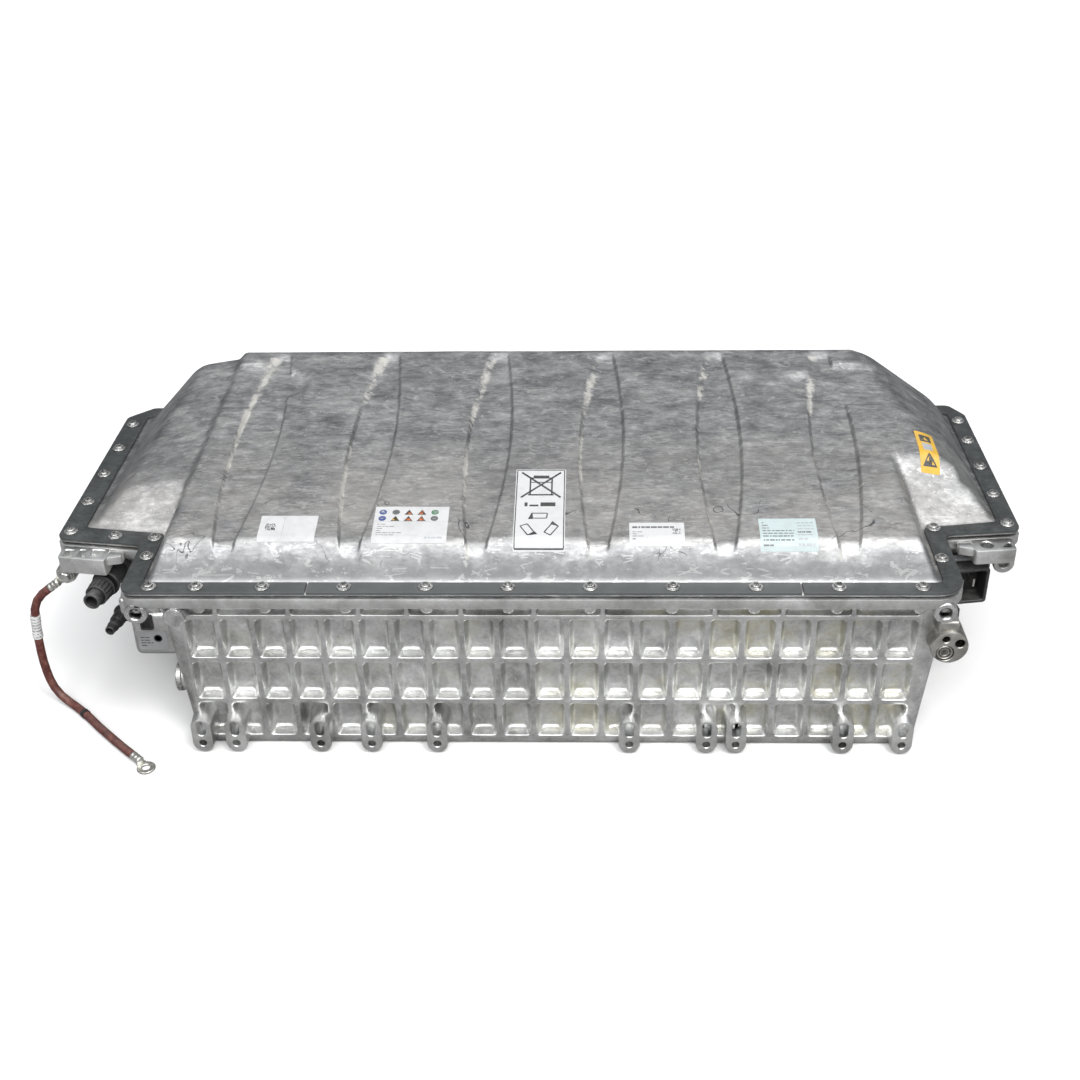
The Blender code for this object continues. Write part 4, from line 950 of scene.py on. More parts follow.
# ---------------------------------------------------------------- cover screws
# Zinc-plated flange screws with a six-lobe socket, every 80 mm through the strips into the tray.
def copies_tree(name):
    """Geometry Nodes tree that puts a copy of one piece on every point of a mesh."""
    tree = bpy.data.node_groups.new(name, "GeometryNodeTree")
    for label, way, kind in (("Points", "INPUT", "NodeSocketGeometry"),
                             ("Copy", "INPUT", "NodeSocketObject"), ("Size", "INPUT", "NodeSocketFloat"),
                             ("Turn", "INPUT", "NodeSocketFloat"), ("Finish", "INPUT",
                                                                    "NodeSocketMaterial"),
                             ("Result", "OUTPUT", "NodeSocketGeometry")):
        tree.interface.new_socket(label, in_out=way, socket_type=kind)
    nodes = tree.nodes
    entry, leave = nodes.new("NodeGroupInput"), nodes.new("NodeGroupOutput")
    source = nodes.new("GeometryNodeObjectInfo")
    turns = nodes.new("FunctionNodeRandomValue")
    turns.data_type = "FLOAT"
    turns.inputs["Seed"].default_value = 7
    turns.inputs[2].default_value = 0.0
    angle = nodes.new("ShaderNodeCombineXYZ")
    on_points = nodes.new("GeometryNodeInstanceOnPoints")
    real, paint = nodes.new("GeometryNodeRealizeInstances"), nodes.new("GeometryNodeSetMaterial")
    wires = (
        (entry, "Points", on_points, "Points"), (entry, "Copy", source, "Object"),
        (source, "Geometry", on_points, "Instance"), (entry, "Turn", turns, 3), (turns, 1, angle, "Z"),
        (angle, 0, on_points, "Rotation"), (entry, "Size", on_points, "Scale"),
        (on_points, "Instances", real, "Geometry"), (real, "Geometry", paint, "Geometry"),
        (entry, "Finish", paint, "Material"), (paint, "Geometry", leave, "Result"))
    for giver, out, taker, into in wires:
        tree.links.new(giver.outputs[out], taker.inputs[into])
    return tree


COPIES = copies_tree("copies_on_points")


def repeat_piece(name, template, spots, material, turn=0.0):
    """One plain mesh made of copies of a bmesh at each spot."""
    pattern = mesh_object(name + "_pattern", template, material, 35)
    points = bpy.data.meshes.new(name + "_points")
    points.from_pydata([tuple(s) for s in spots], [], [])
    holder = link(bpy.data.objects.new(name + "_holder", points))
    modifier = holder.modifiers.new("copies", "NODES")
    modifier.node_group = COPIES
    values = {"Copy": pattern, "Size": 1.0, "Turn": turn, "Finish": material}
    for item in COPIES.interface.items_tree:
        if item.in_out == "INPUT" and item.name in values:
            modifier[item.identifier] = values[item.name]
    mesh = bpy.data.meshes.new_from_object(holder.evaluated_get(bpy.context.evaluated_depsgraph_get()))
    mesh.name = name
    bpy.data.objects.remove(holder)
    bpy.data.objects.remove(pattern)
    return link(bpy.data.objects.new(name, mesh))


def socket_screw_into(bm, at, washer=0.0072, head=0.005, tall=0.0042):
    """Flange, domed head and a six-lobe socket, as one closed skin about an upright axis."""
    sides = 24
    stations = [
        (0.0, 0.98 * washer), (0.0005, washer), (0.0009, washer), (0.0014, 0.92 * washer),
        (0.0015, head + 0.0006), (0.002, head), (tall - 0.001, head - 0.0001),
        (tall - 0.0003, head - 0.0006), (tall, head - 0.0014)]
    rings = []
    for along, radius in stations:
        rings.append([bm.verts.new(Vector(at) + point) for point in circle(radius, sides, along)])
    for depth, share in ((0.0001, 1.0), (0.0024, 0.92)):
        ring = []
        for k in range(sides):
            angle = 2 * math.pi * k / sides
            radius = share * (0.0027 + 0.00055 * math.cos(6 * angle))
            ring.append(bm.verts.new(Vector(at) + Vector((radius * math.cos(angle),
                                                          radius * math.sin(angle), tall - depth))))
        rings.append(ring)
    bm.faces.new(rings[0][::-1])
    bm.faces.new(rings[-1])
    skin(bm, rings)


SCREW_STEEL = plated_material("weathered_screws", (0.34, 0.34, 0.335), 0.4)
screw_bm = bmesh.new()
socket_screw_into(screw_bm, (0, 0, 0))
FRONT_SCREW_XS = [-0.3763, -0.3301] + [-0.2645 + 0.08 * k for k in range(9)]
screw_spots = [Vector((x, -0.1912, STRIP_HIGH)) for x in FRONT_SCREW_XS]
screw_spots += [Vector((-0.4845, y, STRIP_HIGH)) for y in (-0.0865, -0.0255, 0.0355, 0.0965, 0.156)]
screw_spots += [Vector((0.4845, y, STRIP_HIGH)) for y in (-0.0727, -0.012, 0.049, 0.11, 0.159)]
screw_spots += [
    Vector((x, y, STRIP_HIGH)) for x, y in ((-0.4355, -0.096), (-0.3935, -0.0995), (-0.3925, -0.1354),
                                            (0.4075, -0.081), (0.404, -0.1399))]
screw_spots += [Vector((-0.44 + 0.08 * k, 0.1905, STRIP_HIGH)) for k in range(12)]
screws = repeat_piece("cover_screws", screw_bm, screw_spots, SCREW_STEEL, 6.28)
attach(screws, "pack")


# ---------------------------------------------------------------- cast tray
# The pack's deep cast-aluminium tray: a ribbed well with a shallow tub on each side and one flange all
# round. Its front and back walls are a grid of drafted pockets; the flange's top face is machined.
FLANGE_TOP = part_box("cover_seal")[0][2] - 0.0003
FLANGE_LOW = FLANGE_TOP - 0.012
WALL_FRONT, WALL_REAR = -0.186, 0.186
POCKET_DEPTH = 0.013
ROW_LEVELS = (0.009, 0.0564, 0.1082, 0.1608)
COLUMN_FIRST_X, COLUMN_PITCH, COLUMNS = -0.3515, 0.03488, 21
REAR_COLUMNS = 14
TOP_ROW = (0.1608, 0.179)
TOP_ROW_RIBS = (-0.3515, -0.317, -0.244, -0.174, -0.126, -0.072, 0.0, 0.068, 0.178, 0.245, 0.314, 0.381)


def casting_material(name="raw_casting", tint=(0.7, 0.705, 0.7)):
    """Bare die-cast aluminium: satin skin, faint flow marks, dirt in hollows, bright rubbed edges."""
    work = material_work(name, 1.0, 0.36)
    grain = work.grain(28.0, 1.2)
    fine = work.grain(230.0, 1.3)
    scale = lambda share: tuple(min(1.0, share * channel) for channel in tint)
    colour = work.ramp(
        grain["Tone"], ((0.05, scale(0.62)), (0.45, scale(0.95)), (0.75, scale(1.15)), (1.0, scale(1.5))))
    speck = work.ramp(fine["Tone"], ((0.0, 0.75), (0.5, 1.0), (1.0, 1.2)))
    colour = work.mix(0.6, colour, speck, "MULTIPLY")
    hollow = work.attribute("hollow")
    axes = work.axes()
    warm = work.noise(16.0, 5.0, 0.7)
    to_right = work.ramp(work.plus(axes["X"], 0.5), ((0.05, 0.0), (0.8, 0.75), (1.0, 1.0)))
    stain = work.times(work.times(to_right, hollow), work.ramp(warm, ((0.48, 0.0), (0.66, 0.9))))
    colour = work.mix(stain, colour, (0.62, 0.57, 0.36))
    grime = work.ramp(warm, ((0.3, 0.5), (0.48, 0.0)))
    colour = work.mix(grime, colour, (0.2, 0.2, 0.19))
    worn = edge_wear(work, 0.52, 0.6)
    marks = work.scratches(120.0, 0.02, 0.8)
    bright = work.math("MAXIMUM", work.times(worn, 0.7), work.times(marks, 0.4))
    work.paint(work.mix(bright, colour, (0.82, 0.82, 0.8)))
    work.feed("Roughness", work.ramp(fine["Fine"], ((0.25, 0.28), (0.75, 0.46))))
    height = work.plus(work.times(fine["Height"], 0.6), work.times(grain["Height"], 1.6))
    work.bump(height, 0.0006, 0.35)
    return work.made


CASTING = casting_material()

# Steps of a pocket from its rib's middle inwards: share of the depth, inset and corner radius in mm.
POCKET_STEPS = (
    (0.0, 1.9, 3.4), (0.01, 2.35, 3.8), (0.035, 2.75, 4.2), (0.085, 3.05, 4.5), (0.585, 4.75, 5.2),
    (0.74, 5.3, 5.6), (0.885, 6.4, 6.0), (0.975, 8.0, 6.0), (1.0, 9.8, 5.4), (0.992, 11.8, 4.2))
TOP_POCKET_STEPS = (
    (0.0, 1.5, 2.0), (0.02, 1.9, 2.3), (0.08, 2.3, 2.6), (0.2, 2.6, 2.8), (0.6, 3.2, 3.0), (0.85, 3.9, 3.0),
    (1.0, 5.0, 2.6))


def cell_loop(x0, x1, z0, z1, inset, radius):
    """Thirty-two points round a rounded rectangle, always in the same order from one corner."""
    half_w, half_h = (x1 - x0) / 2 - inset, (z1 - z0) / 2 - inset
    mid_x, mid_z = (x0 + x1) / 2, (z0 + z1) / 2
    corners = ((1, 1, 0.0), (-1, 1, 0.5 * math.pi), (-1, -1, math.pi), (1, -1, 1.5 * math.pi))
    arcs = []
    for sx, sz, first in corners:
        arc = []
        for k in range(5):
            if radius:
                angle = first + k * math.pi / 8
                arc.append((mid_x + sx * (half_w - radius) + radius * math.cos(angle),
                            mid_z + sz * (half_h - radius) + radius * math.sin(angle)))
            else:
                step = 0.0022 * (2 - k)
                before = (0, -1) if sx * sz > 0 else (-1, 0)
                along = (sx * before[0] * step, sz * before[1] * step) if k < 2 else (0.0, 0.0)
                if k > 2:
                    after = (-1, 0) if sx * sz > 0 else (0, -1)
                    along = (sx * after[0] * -step, sz * after[1] * -step)
                arc.append((mid_x + sx * half_w + along[0], mid_z + sz * half_h + along[1]))
        arcs.append(arc)
    loop = []
    for arc, following in zip(arcs, arcs[1:] + arcs[:1]):
        loop += arc
        (xa, za), (xb, zb) = arc[-1], following[0]
        loop += [(xa + (xb - xa) * s / 4, za + (zb - za) * s / 4) for s in (1, 2, 3)]
    return loop


def absorb(bm, part):
    """Moves a bmesh's geometry into another."""
    mesh = bpy.data.meshes.new("part")
    part.to_mesh(mesh)
    part.free()
    bm.from_mesh(mesh)
    bpy.data.meshes.remove(mesh)


def pocket_grid(bm, xs, zs, face_y, inward, depth, steps, back_y):
    """A slab whose face is a grid of pockets between ribs, closed by its sides and a flat back."""
    hollow = bm.verts.layers.float.get("hollow") or bm.verts.layers.float.new("hollow")
    patch = bmesh.new()
    patch_hollow = patch.verts.layers.float.new("hollow")
    for x0, x1 in zip(xs, xs[1:]):
        for z0, z1 in zip(zs, zs[1:]):
            rings = []
            for share, inset, radius in ((0.0, 0.0, 0.0),) + steps:
                ring = []
                for x, z in cell_loop(x0, x1, z0, z1, inset / 1000, radius / 1000):
                    vert = patch.verts.new((x, face_y + inward * depth * share, z))
                    vert[patch_hollow] = share
                    ring.append(vert)
                rings.append(ring)
            skin(patch, rings)
            patch.faces.new(rings[-1])
    bmesh.ops.remove_doubles(patch, verts=patch.verts, dist=1e-5)
    rim = [e for e in patch.edges if len(e.link_faces) == 1]
    grown = bmesh.ops.extrude_edge_only(patch, edges=rim)["geom"]
    for vert in (g for g in grown if isinstance(g, bmesh.types.BMVert)):
        vert.co.y = back_y
    bmesh.ops.holes_fill(
        patch, edges=[e for e in grown if isinstance(e, bmesh.types.BMEdge) and len(e.link_faces) == 1])
    bmesh.ops.recalc_face_normals(patch, faces=patch.faces)
    absorb(bm, patch)


def well_outline(level):
    """The well from above at one height: its ends lean outwards and its corners grow rounder."""
    share = level / FLANGE_LOW
    tuck = 0.0055 * (1 - math.sqrt(max(0.0, 1 - (1 - min(1.0, level / 0.007)) ** 2)))
    x0, x1 = -0.3545 - 0.0215 * share + tuck, 0.3885 + 0.0215 * share - tuck
    y0, y1 = WALL_FRONT + 0.0001 + tuck, WALL_REAR - 0.0001 - tuck
    radius = 0.007 + 0.013 * share
    return rounded(((x0, y0, radius), (x1, y0, radius), (x1, y1, radius), (x0, y1, radius)), 8)


def loft(bm, loops):
    """Skin over a stack of loops with equal counts, capped at both ends."""
    rings = [[bm.verts.new(p) for p in loop] for loop in loops]
    bm.faces.new(rings[0][::-1])
    bm.faces.new(rings[-1])
    skin(bm, rings)


def plane_solid(planes, edge=0.0):
    """The space behind every plane (point, outward normal), with its edges rounded."""
    bm = bmesh.new()
    bmesh.ops.create_cube(bm, size=2.0)
    for point, normal in planes:
        everything = bm.verts[:] + bm.edges[:] + bm.faces[:]
        cut = bmesh.ops.bisect_plane(bm, geom=everything, plane_co=point, plane_no=normal, clear_outer=True)
        bmesh.ops.contextual_create(
            bm, geom=[e for e in cut["geom_cut"] if isinstance(e, bmesh.types.BMEdge)])
    if edge:
        bmesh.ops.bevel(
            bm, geom=bm.edges[:], offset=edge, segments=5, profile=0.5, affect="EDGES", clamp_overlap=True)
    return bm


def leaning_plane(start, end, inset, low, high, lean):
    """A wall over the line start-end, its outside on the line's right, leaning out by lean at high."""
    along = (Vector(end) - Vector(start)).normalized()
    outward = Vector((along.y, -along.x, 0))
    normal = (outward * (high - low) - Vector((0, 0, 1)) * lean).normalized()
    return Vector((*start, low)) - outward * inset, normal


def tub_solid(side, inset, bottom, top, edge):
    left = side < 0
    front = ((-0.468, -0.081), (-0.381, -0.094)) if left else ((0.394, -0.083), (0.472, -0.071))
    foot = -0.42 if left else 0.432
    end_line = ((foot, 1), (foot, -1)) if left else ((foot, -1), (foot, 1))
    inner = -0.334 if left else 0.37
    lean = 0.06 if left else 0.054
    return plane_solid(
        ((Vector((0, 0, bottom)), Vector((0, 0, -1))), (Vector((0, 0, top)), Vector((0, 0, 1))),
         (Vector((inner, 0, 0)), Vector((-side, 0, 0))), (Vector((0, 0.184 - inset, 0)), Vector((0, 1, 0))),
         leaning_plane(*end_line, inset, 0.077, FLANGE_LOW, lean),
         leaning_plane(*front, inset, 0.077, FLANGE_LOW, 0.0)), edge)


def box_solid(low, high, edge=0.0, segments=3):
    bm = bmesh.new()
    low, high = Vector(low), Vector(high)
    bmesh.ops.create_cube(
        bm, matrix=Matrix.Translation((low + high) / 2) @ Matrix.Diagonal((*(high - low), 1.0)))
    if edge:
        bmesh.ops.bevel(bm, geom=bm.edges[:], offset=edge, segments=segments, profile=0.5, affect="EDGES")
    return bm


def combine(start, steps):
    """Joins solids to a bmesh and cuts others out of it, in order, and returns one clean bmesh."""
    base = mesh_object("casting_work", start, CASTING, None)
    helpers = []
    for operation, solid in steps:
        helpers.append(mesh_object("casting_step", solid, CASTING, None))
        modifier = base.modifiers.new("step", "BOOLEAN")
        modifier.operation = operation
        modifier.object = helpers[-1]
        modifier.solver = "EXACT"
    done = bpy.data.meshes.new_from_object(base.evaluated_get(bpy.context.evaluated_depsgraph_get()))
    bm = bmesh.new()
    bm.from_mesh(done)
    bpy.data.meshes.remove(done)
    for helper in helpers + [base]:
        bpy.data.objects.remove(helper)
    return bm


well_levels = [0.0, 0.0008, 0.0022, 0.0045, 0.007] + list(np.linspace(0.03, FLANGE_LOW + 0.001, 6))
well = bmesh.new()
loft(well, [[(p[0], p[1], z) for p in well_outline(z)] for z in well_levels])
flange = bmesh.new()
flange_loops = []
for z, inset in ((FLANGE_LOW, 0.0022), (FLANGE_LOW + 0.0006, 0.0008), (FLANGE_LOW + 0.002, 0.0),
                 (FLANGE_TOP - 0.0012, 0.0), (FLANGE_TOP - 0.0003, 0.0004), (FLANGE_TOP, 0.0012)):
    flange_loops.append([(p[0], p[1], z) for p in rounded(offset(RIM_CORNERS, -inset), 8)])
loft(flange, flange_loops)
opening = bmesh.new()
loft(opening, [[(p[0], p[1], z) for p in rounded(offset(WALL_CORNERS, -0.003), 4)]
               for z in (FLANGE_LOW + 0.0005, 0.25)])
grid_x0, grid_x1 = COLUMN_FIRST_X, COLUMN_FIRST_X + COLUMNS * COLUMN_PITCH
recess = 0.0145
tray_steps = [("UNION", tub_solid(side, 0.0, 0.077, FLANGE_LOW + 0.004, 0.009)) for side in (-1, 1)]
tray_steps += [
    ("UNION", flange), ("DIFFERENCE", box_solid((-0.338, -0.169, 0.012),
                                                (0.374, 0.169, FLANGE_LOW + 0.002)))]
tray_steps += [("DIFFERENCE", tub_solid(side, 0.005, 0.082, FLANGE_LOW + 0.003, 0.0)) for side in (-1, 1)]
tray_steps += [("DIFFERENCE", opening)]
for y0, y1 in ((WALL_FRONT - 0.01, WALL_FRONT + recess), (WALL_REAR - recess, WALL_REAR + 0.01)):
    cut_low = (grid_x0 + 0.001, y0, ROW_LEVELS[0] + 0.001)
    tray_steps += [("DIFFERENCE", box_solid(cut_low, (grid_x1 - 0.001, y1, TOP_ROW[1] - 0.0005)))]
tray_bm = combine(well, tray_steps)
front_xs = [COLUMN_FIRST_X + COLUMN_PITCH * k for k in range(COLUMNS + 1)]
rear_xs = [COLUMN_FIRST_X + COLUMN_PITCH * COLUMNS / REAR_COLUMNS * k for k in range(REAR_COLUMNS + 1)]
for wall_y, inward, xs in ((WALL_FRONT, 1, front_xs), (WALL_REAR, -1, rear_xs)):
    pocket_grid(tray_bm, xs, ROW_LEVELS, wall_y, inward, POCKET_DEPTH, POCKET_STEPS,
                wall_y + inward * (recess - 0.0002))
    pocket_grid(tray_bm, TOP_ROW_RIBS, TOP_ROW, wall_y, inward, 0.007, TOP_POCKET_STEPS,
                wall_y + inward * (recess - 0.0002))
tray = mesh_object("tray_casting", tray_bm, CASTING, 32)
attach(tray, "pack")
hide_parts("tray")


# ---------------------------------------------------------------- front lugs
# Ten cast lugs low on the front wall, each with a round hole and a slot above it, machined flat in
# front. Their sides run back into the pockets.
LUG_XS = (-0.346, -0.311, -0.223, -0.17, -0.102, 0.096, 0.175, 0.205, 0.314, 0.374)
LUG_FACE = -0.202
LUG_BACK = -0.1728


def ring_of(centre, radius, count, stretch=0.0, first=0.0):
    """A circle, or with stretch a slot with round ends, as (u, v) points."""
    points = []
    for k in range(count):
        angle = first + 2 * math.pi * (k + 0.5) / count
        v = centre[1] + radius * math.sin(angle) + math.copysign(stretch, math.sin(angle))
        points.append((centre[0] + radius * math.cos(angle), v))
    return points


def grown_loop(points, distance):
    """A closed (u, v) loop, anticlockwise, moved outwards."""
    moved = []
    for i, point in enumerate(points):
        way = (Vector(points[(i + 1) % len(points)]) - Vector(points[i - 1])).normalized()
        moved.append((point[0] + way.y * distance, point[1] - way.x * distance))
    return moved


def pierced_block(bm, outline, holes, place, depth, edge=0.001, flare=0.0):
    """A block with a flat pierced face. place(u, v, w) puts a face point that lies w behind the face;
    holes are (loop, depth, chamfer). flare widens the block's back."""
    def ring(loop, w):
        return [bm.verts.new(place(u, v, w)) for u, v in loop]

    outer = [ring(grown_loop(outline, -edge), 0.0), ring(grown_loop(outline, -0.3 * edge), 0.3 * edge),
             ring(outline, edge), ring(grown_loop(outline, 0.35 * flare), 0.6 * depth),
             ring(grown_loop(outline, flare), depth)]
    skin(bm, outer)
    bm.faces.new(outer[-1])
    mouths = [outer[0]]
    for loop, hole_depth, chamfer in holes:
        rings = [ring(grown_loop(loop, chamfer), 0.0), ring(loop, chamfer), ring(loop, hole_depth)]
        skin(bm, rings)
        bm.faces.new(rings[-1])
        mouths.append(rings[0])
    edges = []
    for mouth in mouths:
        for k in range(len(mouth)):
            edges.append(bm.edges.get((mouth[k], mouth[(k + 1) % len(mouth)])))
    bmesh.ops.triangle_fill(bm, use_beauty=True, use_dissolve=False, edges=edges)


lug_bm = bmesh.new()
pierced_block(lug_bm, ring_of((0.0, 0.0225), 0.0108, 32, 0.0098),
              ((ring_of((0.0, 0.013), 0.004, 20), 0.014, 0.0006),
               (ring_of((0.0, 0.0315), 0.0046, 24, 0.0042), 0.016, 0.0007)),
              lambda u, v, w: Vector((u, LUG_FACE + w, v)), LUG_BACK - LUG_FACE, 0.0014, 0.0022)
lugs = repeat_piece("tray_front_lugs", lug_bm, [(x, 0, 0) for x in LUG_XS], CASTING)
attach(lugs, "pack")


# ---------------------------------------------------------------- screw bosses under the flange
# Half-round cast bosses that take the cover screws' threads, hanging from the flange in front and
# behind, with a round end.
boss_bm = bmesh.new()
lathe(boss_bm, mm([(-10, 1.5), (-9.6, 3.5), (-8.4, 5.5), (-6.2, 6.8), (-3, 7.2), (1, 7.6)]), 24)
boss_spots = [(x, -0.1905, FLANGE_LOW) for x in FRONT_SCREW_XS[1:]] + [
    (-0.44 + 0.08 * k, 0.189, FLANGE_LOW) for k in range(1, 11)]
bosses = repeat_piece("tray_screw_bosses", boss_bm, boss_spots, CASTING)
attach(bosses, "pack")


# ---------------------------------------------------------------- bushes and cap boss
# Two drilled bushes at the flange's front corners and a machined round cap between the left one and
# the ribbed wall. They are cast with the tray and turned bright.
BUSH_CENTRES = ((-0.391, 0.1745), (0.3985, 0.1765))
BOSS_CENTRE = (-0.354, 0.17)


def machined_material():
    """Turned aluminium: bright and smooth, with fine scratches and a few dull stains."""
    work = material_work("machined_aluminium", 1.0, 0.28)
    grain = work.grain(90.0, 1.2)
    colour = work.ramp(grain["Tone"], ((0.05, 0.42), (0.5, 0.66), (1.0, 0.88)))
    marks = work.scratches(260.0, 0.03, 0.7)
    work.paint(work.mix(marks, colour, (0.93, 0.93, 0.92)))
    return work.surface(grain, (0.3, 0.2), (0.75, 0.42), 0.0003, 0.3)


MACHINED = machined_material()
bush_bm = bmesh.new()
for x, z in BUSH_CENTRES:
    lathe(bush_bm, mm([(0.8, 6.2), (0, 7), (0, 10.4), (0.8, 11.4), (4, 11.8), (30, 12.4), (30, 3), (22, 3),
                       (20, 5), (2, 5), (0.8, 6.2)]), 36, (x, LUG_FACE, z), (0, 1, 0))
x, z = BOSS_CENTRE
lathe(bush_bm, mm([(0, 9), (0.4, 10.1), (1.6, 10.8), (30, 11.6)]), 40, (x, LUG_FACE, z), (0, 1, 0))
bushes = mesh_object("tray_bushes", bush_bm, MACHINED, 35)
# Painted shade: the inner faces of the two bores get a near-black casting finish, as the holes lie in shade.
bushes.data.materials.append(casting_material("painted_shade_bore", (0.1, 0.1, 0.1)))
for face in bushes.data.polygons:
    x, y, z = face.center
    if y > LUG_FACE + 0.0012 and min(math.hypot(x - bx, z - bz) for bx, bz in BUSH_CENTRES) < 0.0056:
        face.material_index = 1
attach(bushes, "pack")

web_bm = bmesh.new()
for (x0, z0), (x1, z1), half in ((BUSH_CENTRES[0], (-0.372, 0.182), 0.004),
                                 (BUSH_CENTRES[1], (0.4, 0.189), 0.009),
                                 (BUSH_CENTRES[0], (-0.398, 0.189), 0.009)):
    box_low = (min(x0, x1) - half, LUG_FACE + 0.005, min(z0, z1) - half * 0.4)
    box_high = (max(x0, x1) + half, -0.178, max(z0, z1))
    absorb(web_bm, box_solid(box_low, box_high, 0.003))
webs = mesh_object("tray_bush_webs", web_bm, CASTING, 40)
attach(webs, "pack")


# ---------------------------------------------------------------- casting box below the left tub
# Part of the tray: a rounded box that carries the left tub down along the well. A black sealing plug
# is pressed into its front.
BOX_LOW, BOX_HIGH = (-0.437, -0.1, 0.05), (-0.346, 0.03, 0.106)
tub_box = mesh_object("tray_left_box", box_solid(BOX_LOW, BOX_HIGH, 0.007, 5), CASTING, 40)
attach(tub_box, "pack")


# ---------------------------------------------------------------- mounting brackets
# Cast aluminium feet bolted in front of the flange's wide ends. The left one is lightened by three
# pockets; the right one has a mounting hole and a triangular pocket. Each has an arm to the tray.
def anticlockwise(points):
    area = sum(a[0] * b[1] - b[0] * a[1] for a, b in zip(points, points[1:] + points[:1]))
    return points if area > 0 else points[::-1]


def rounded_loop(corners, radius, steps=4):
    return anticlockwise([(p.x, p.y) for p in rounded([(x, y, radius) for x, y in corners], steps)])


def bar(x0, y0, x1, y1):
    """A rectangle's corners, anticlockwise."""
    return [(x0, y0), (x1, y0), (x1, y1), (x0, y1)]


def bracket(side, near, far, back_near, back_far, pockets, boss_at):
    sign = 1 if near > 0 else -1
    top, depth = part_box(f"mounting_bracket_{side}")[1].z, 0.023
    corners = anticlockwise(
        [(near, back_near), (far, back_far), (far, back_far - depth), (near, back_near - depth)])
    under = 0.018 if side == "left" else 0.0155
    bm = bmesh.new()
    pierced_block(
        bm, rounded_loop(corners, 0.0035), pockets, lambda u, v, w: Vector((u, v, top - w)), under, 0.0012)
    slope = (back_far - back_near) / (far - near)
    arm_x = near - sign * 0.014
    arm = anticlockwise(
        [(near + sign * 0.004, back_near + sign * 0.004 * slope - 0.0012),
         (arm_x, back_near - sign * 0.014 * slope - 0.0012),
         (arm_x, back_near - sign * 0.014 * slope - 0.0105), (near + sign * 0.004, back_near - 0.017)])
    pierced_block(bm, rounded_loop(arm, 0.0018, 3), (), lambda u, v, w: Vector((u, v, top - 0.0012 - w)),
                  0.0088, 0.0009)
    bx, bz = boss_at
    face = back_far - 0.011
    lathe(bm, mm([(0.6, 5), (0, 5.6), (0, 9.8), (1, 10.8), (12.5, 10.8), (12.5, 1), (9, 1), (9, 4.2),
                  (1.6, 4.2), (0.6, 5)]), 32, (bx, face, bz), (0, 1, 0))
    piece = mesh_object(f"bracket_casting_{side}", bm, CASTING, 40)
    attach(piece, "pack")
    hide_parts(f"mounting_bracket_{side}")


left_pockets = []
for x0, x1, tilt in ((-0.4845, -0.4745, 0.0), (-0.4705, -0.46, 0.003), (-0.4555, -0.444, -0.002)):
    loop = rounded_loop(
        anticlockwise([(x0, -0.123), (x1, -0.124 - 0.2 * tilt), (x1 - tilt, -0.1112),
                       (x0 + 0.5 * tilt, -0.1095)]), 0.0016, 3)
    left_pockets.append((loop, 0.0105, 0.0008))
bracket("left", -0.438, -0.489, -0.1087, -0.1015, left_pockets, (-0.4885, 0.164))
right_pockets = [
    (ring_of((0.4585, -0.1015), 0.0064, 28), 0.014, 0.0009),
    (rounded_loop([(0.472, -0.1065), (0.483, -0.1055), (0.483, -0.095)], 0.0014, 3), 0.0095, 0.0007)]
bracket("right", 0.444, 0.487, -0.0918, -0.0876, right_pockets, (0.48, 0.167))


# ---------------------------------------------------------------- bonding bolt
# A zinc-plated hexagon bolt with a captive washer that clamps the upper terminal to the bracket.
def hex_bolt(name, at, direction, across, head, washer, shank, shank_length, material):
    bm = bmesh.new()
    lathe(bm, [(0.0, 0.78 * across), (0.0006, 0.92 * across), (0.0012, across), (head, across)], 6, at,
          direction, 0.3)
    lathe(bm, [(head - 0.0002, washer - 0.0004), (head + 0.0002, washer), (head + 0.001, washer),
               (head + 0.0013, washer - 0.0004)], 32, at, direction)
    lathe(bm, [(head + 0.0011, shank), (head + 0.0013 + shank_length, shank)], 20, at, direction)
    return mesh_object(name, bm, material, 30)


bolt_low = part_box("bonding_bolt")[0]
bolt = hex_bolt(
    "bonding_bolt_and_washer", (boss_at.x, bolt_low.y, boss_at.z), (0, 1, 0), 0.0066, 0.0041, 0.0077,
    0.0034, 0.0084, ZINC)
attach(bolt, "pack")
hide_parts("bonding_bolt")


# ---------------------------------------------------------------- emergency vent
# A zinc cup screwed into the left wall, with a grooved collar. Its black disc sits inside on a spring
# and lifts outwards if the pack must breathe out.
VENT_AT = (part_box("vent_body")[1][0], -0.155, 0.066)
vent_bm = bmesh.new()
vent_profile = mm(
    [(0, 3), (0, 17.2), (0.7, 18), (5.2, 18), (6, 17.2), (6.2, 15.2), (7.8, 15), (8.2, 15.8), (9.8, 15.8),
     (10.2, 15), (11.8, 15), (12.2, 15.8), (13.8, 15.8), (14.2, 15), (15.8, 15), (16.4, 16), (17.2, 16.5),
     (21.2, 16.5), (22, 15.8), (22, 13.2), (21.4, 12.5), (10, 12.5), (10, 3), (0, 3)])
lathe(vent_bm, vent_profile, 48, VENT_AT, (-1, 0, 0))
vent = mesh_object("vent_cup", vent_bm, ZINC, 32)
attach(vent, "pack")
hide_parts("vent_body")


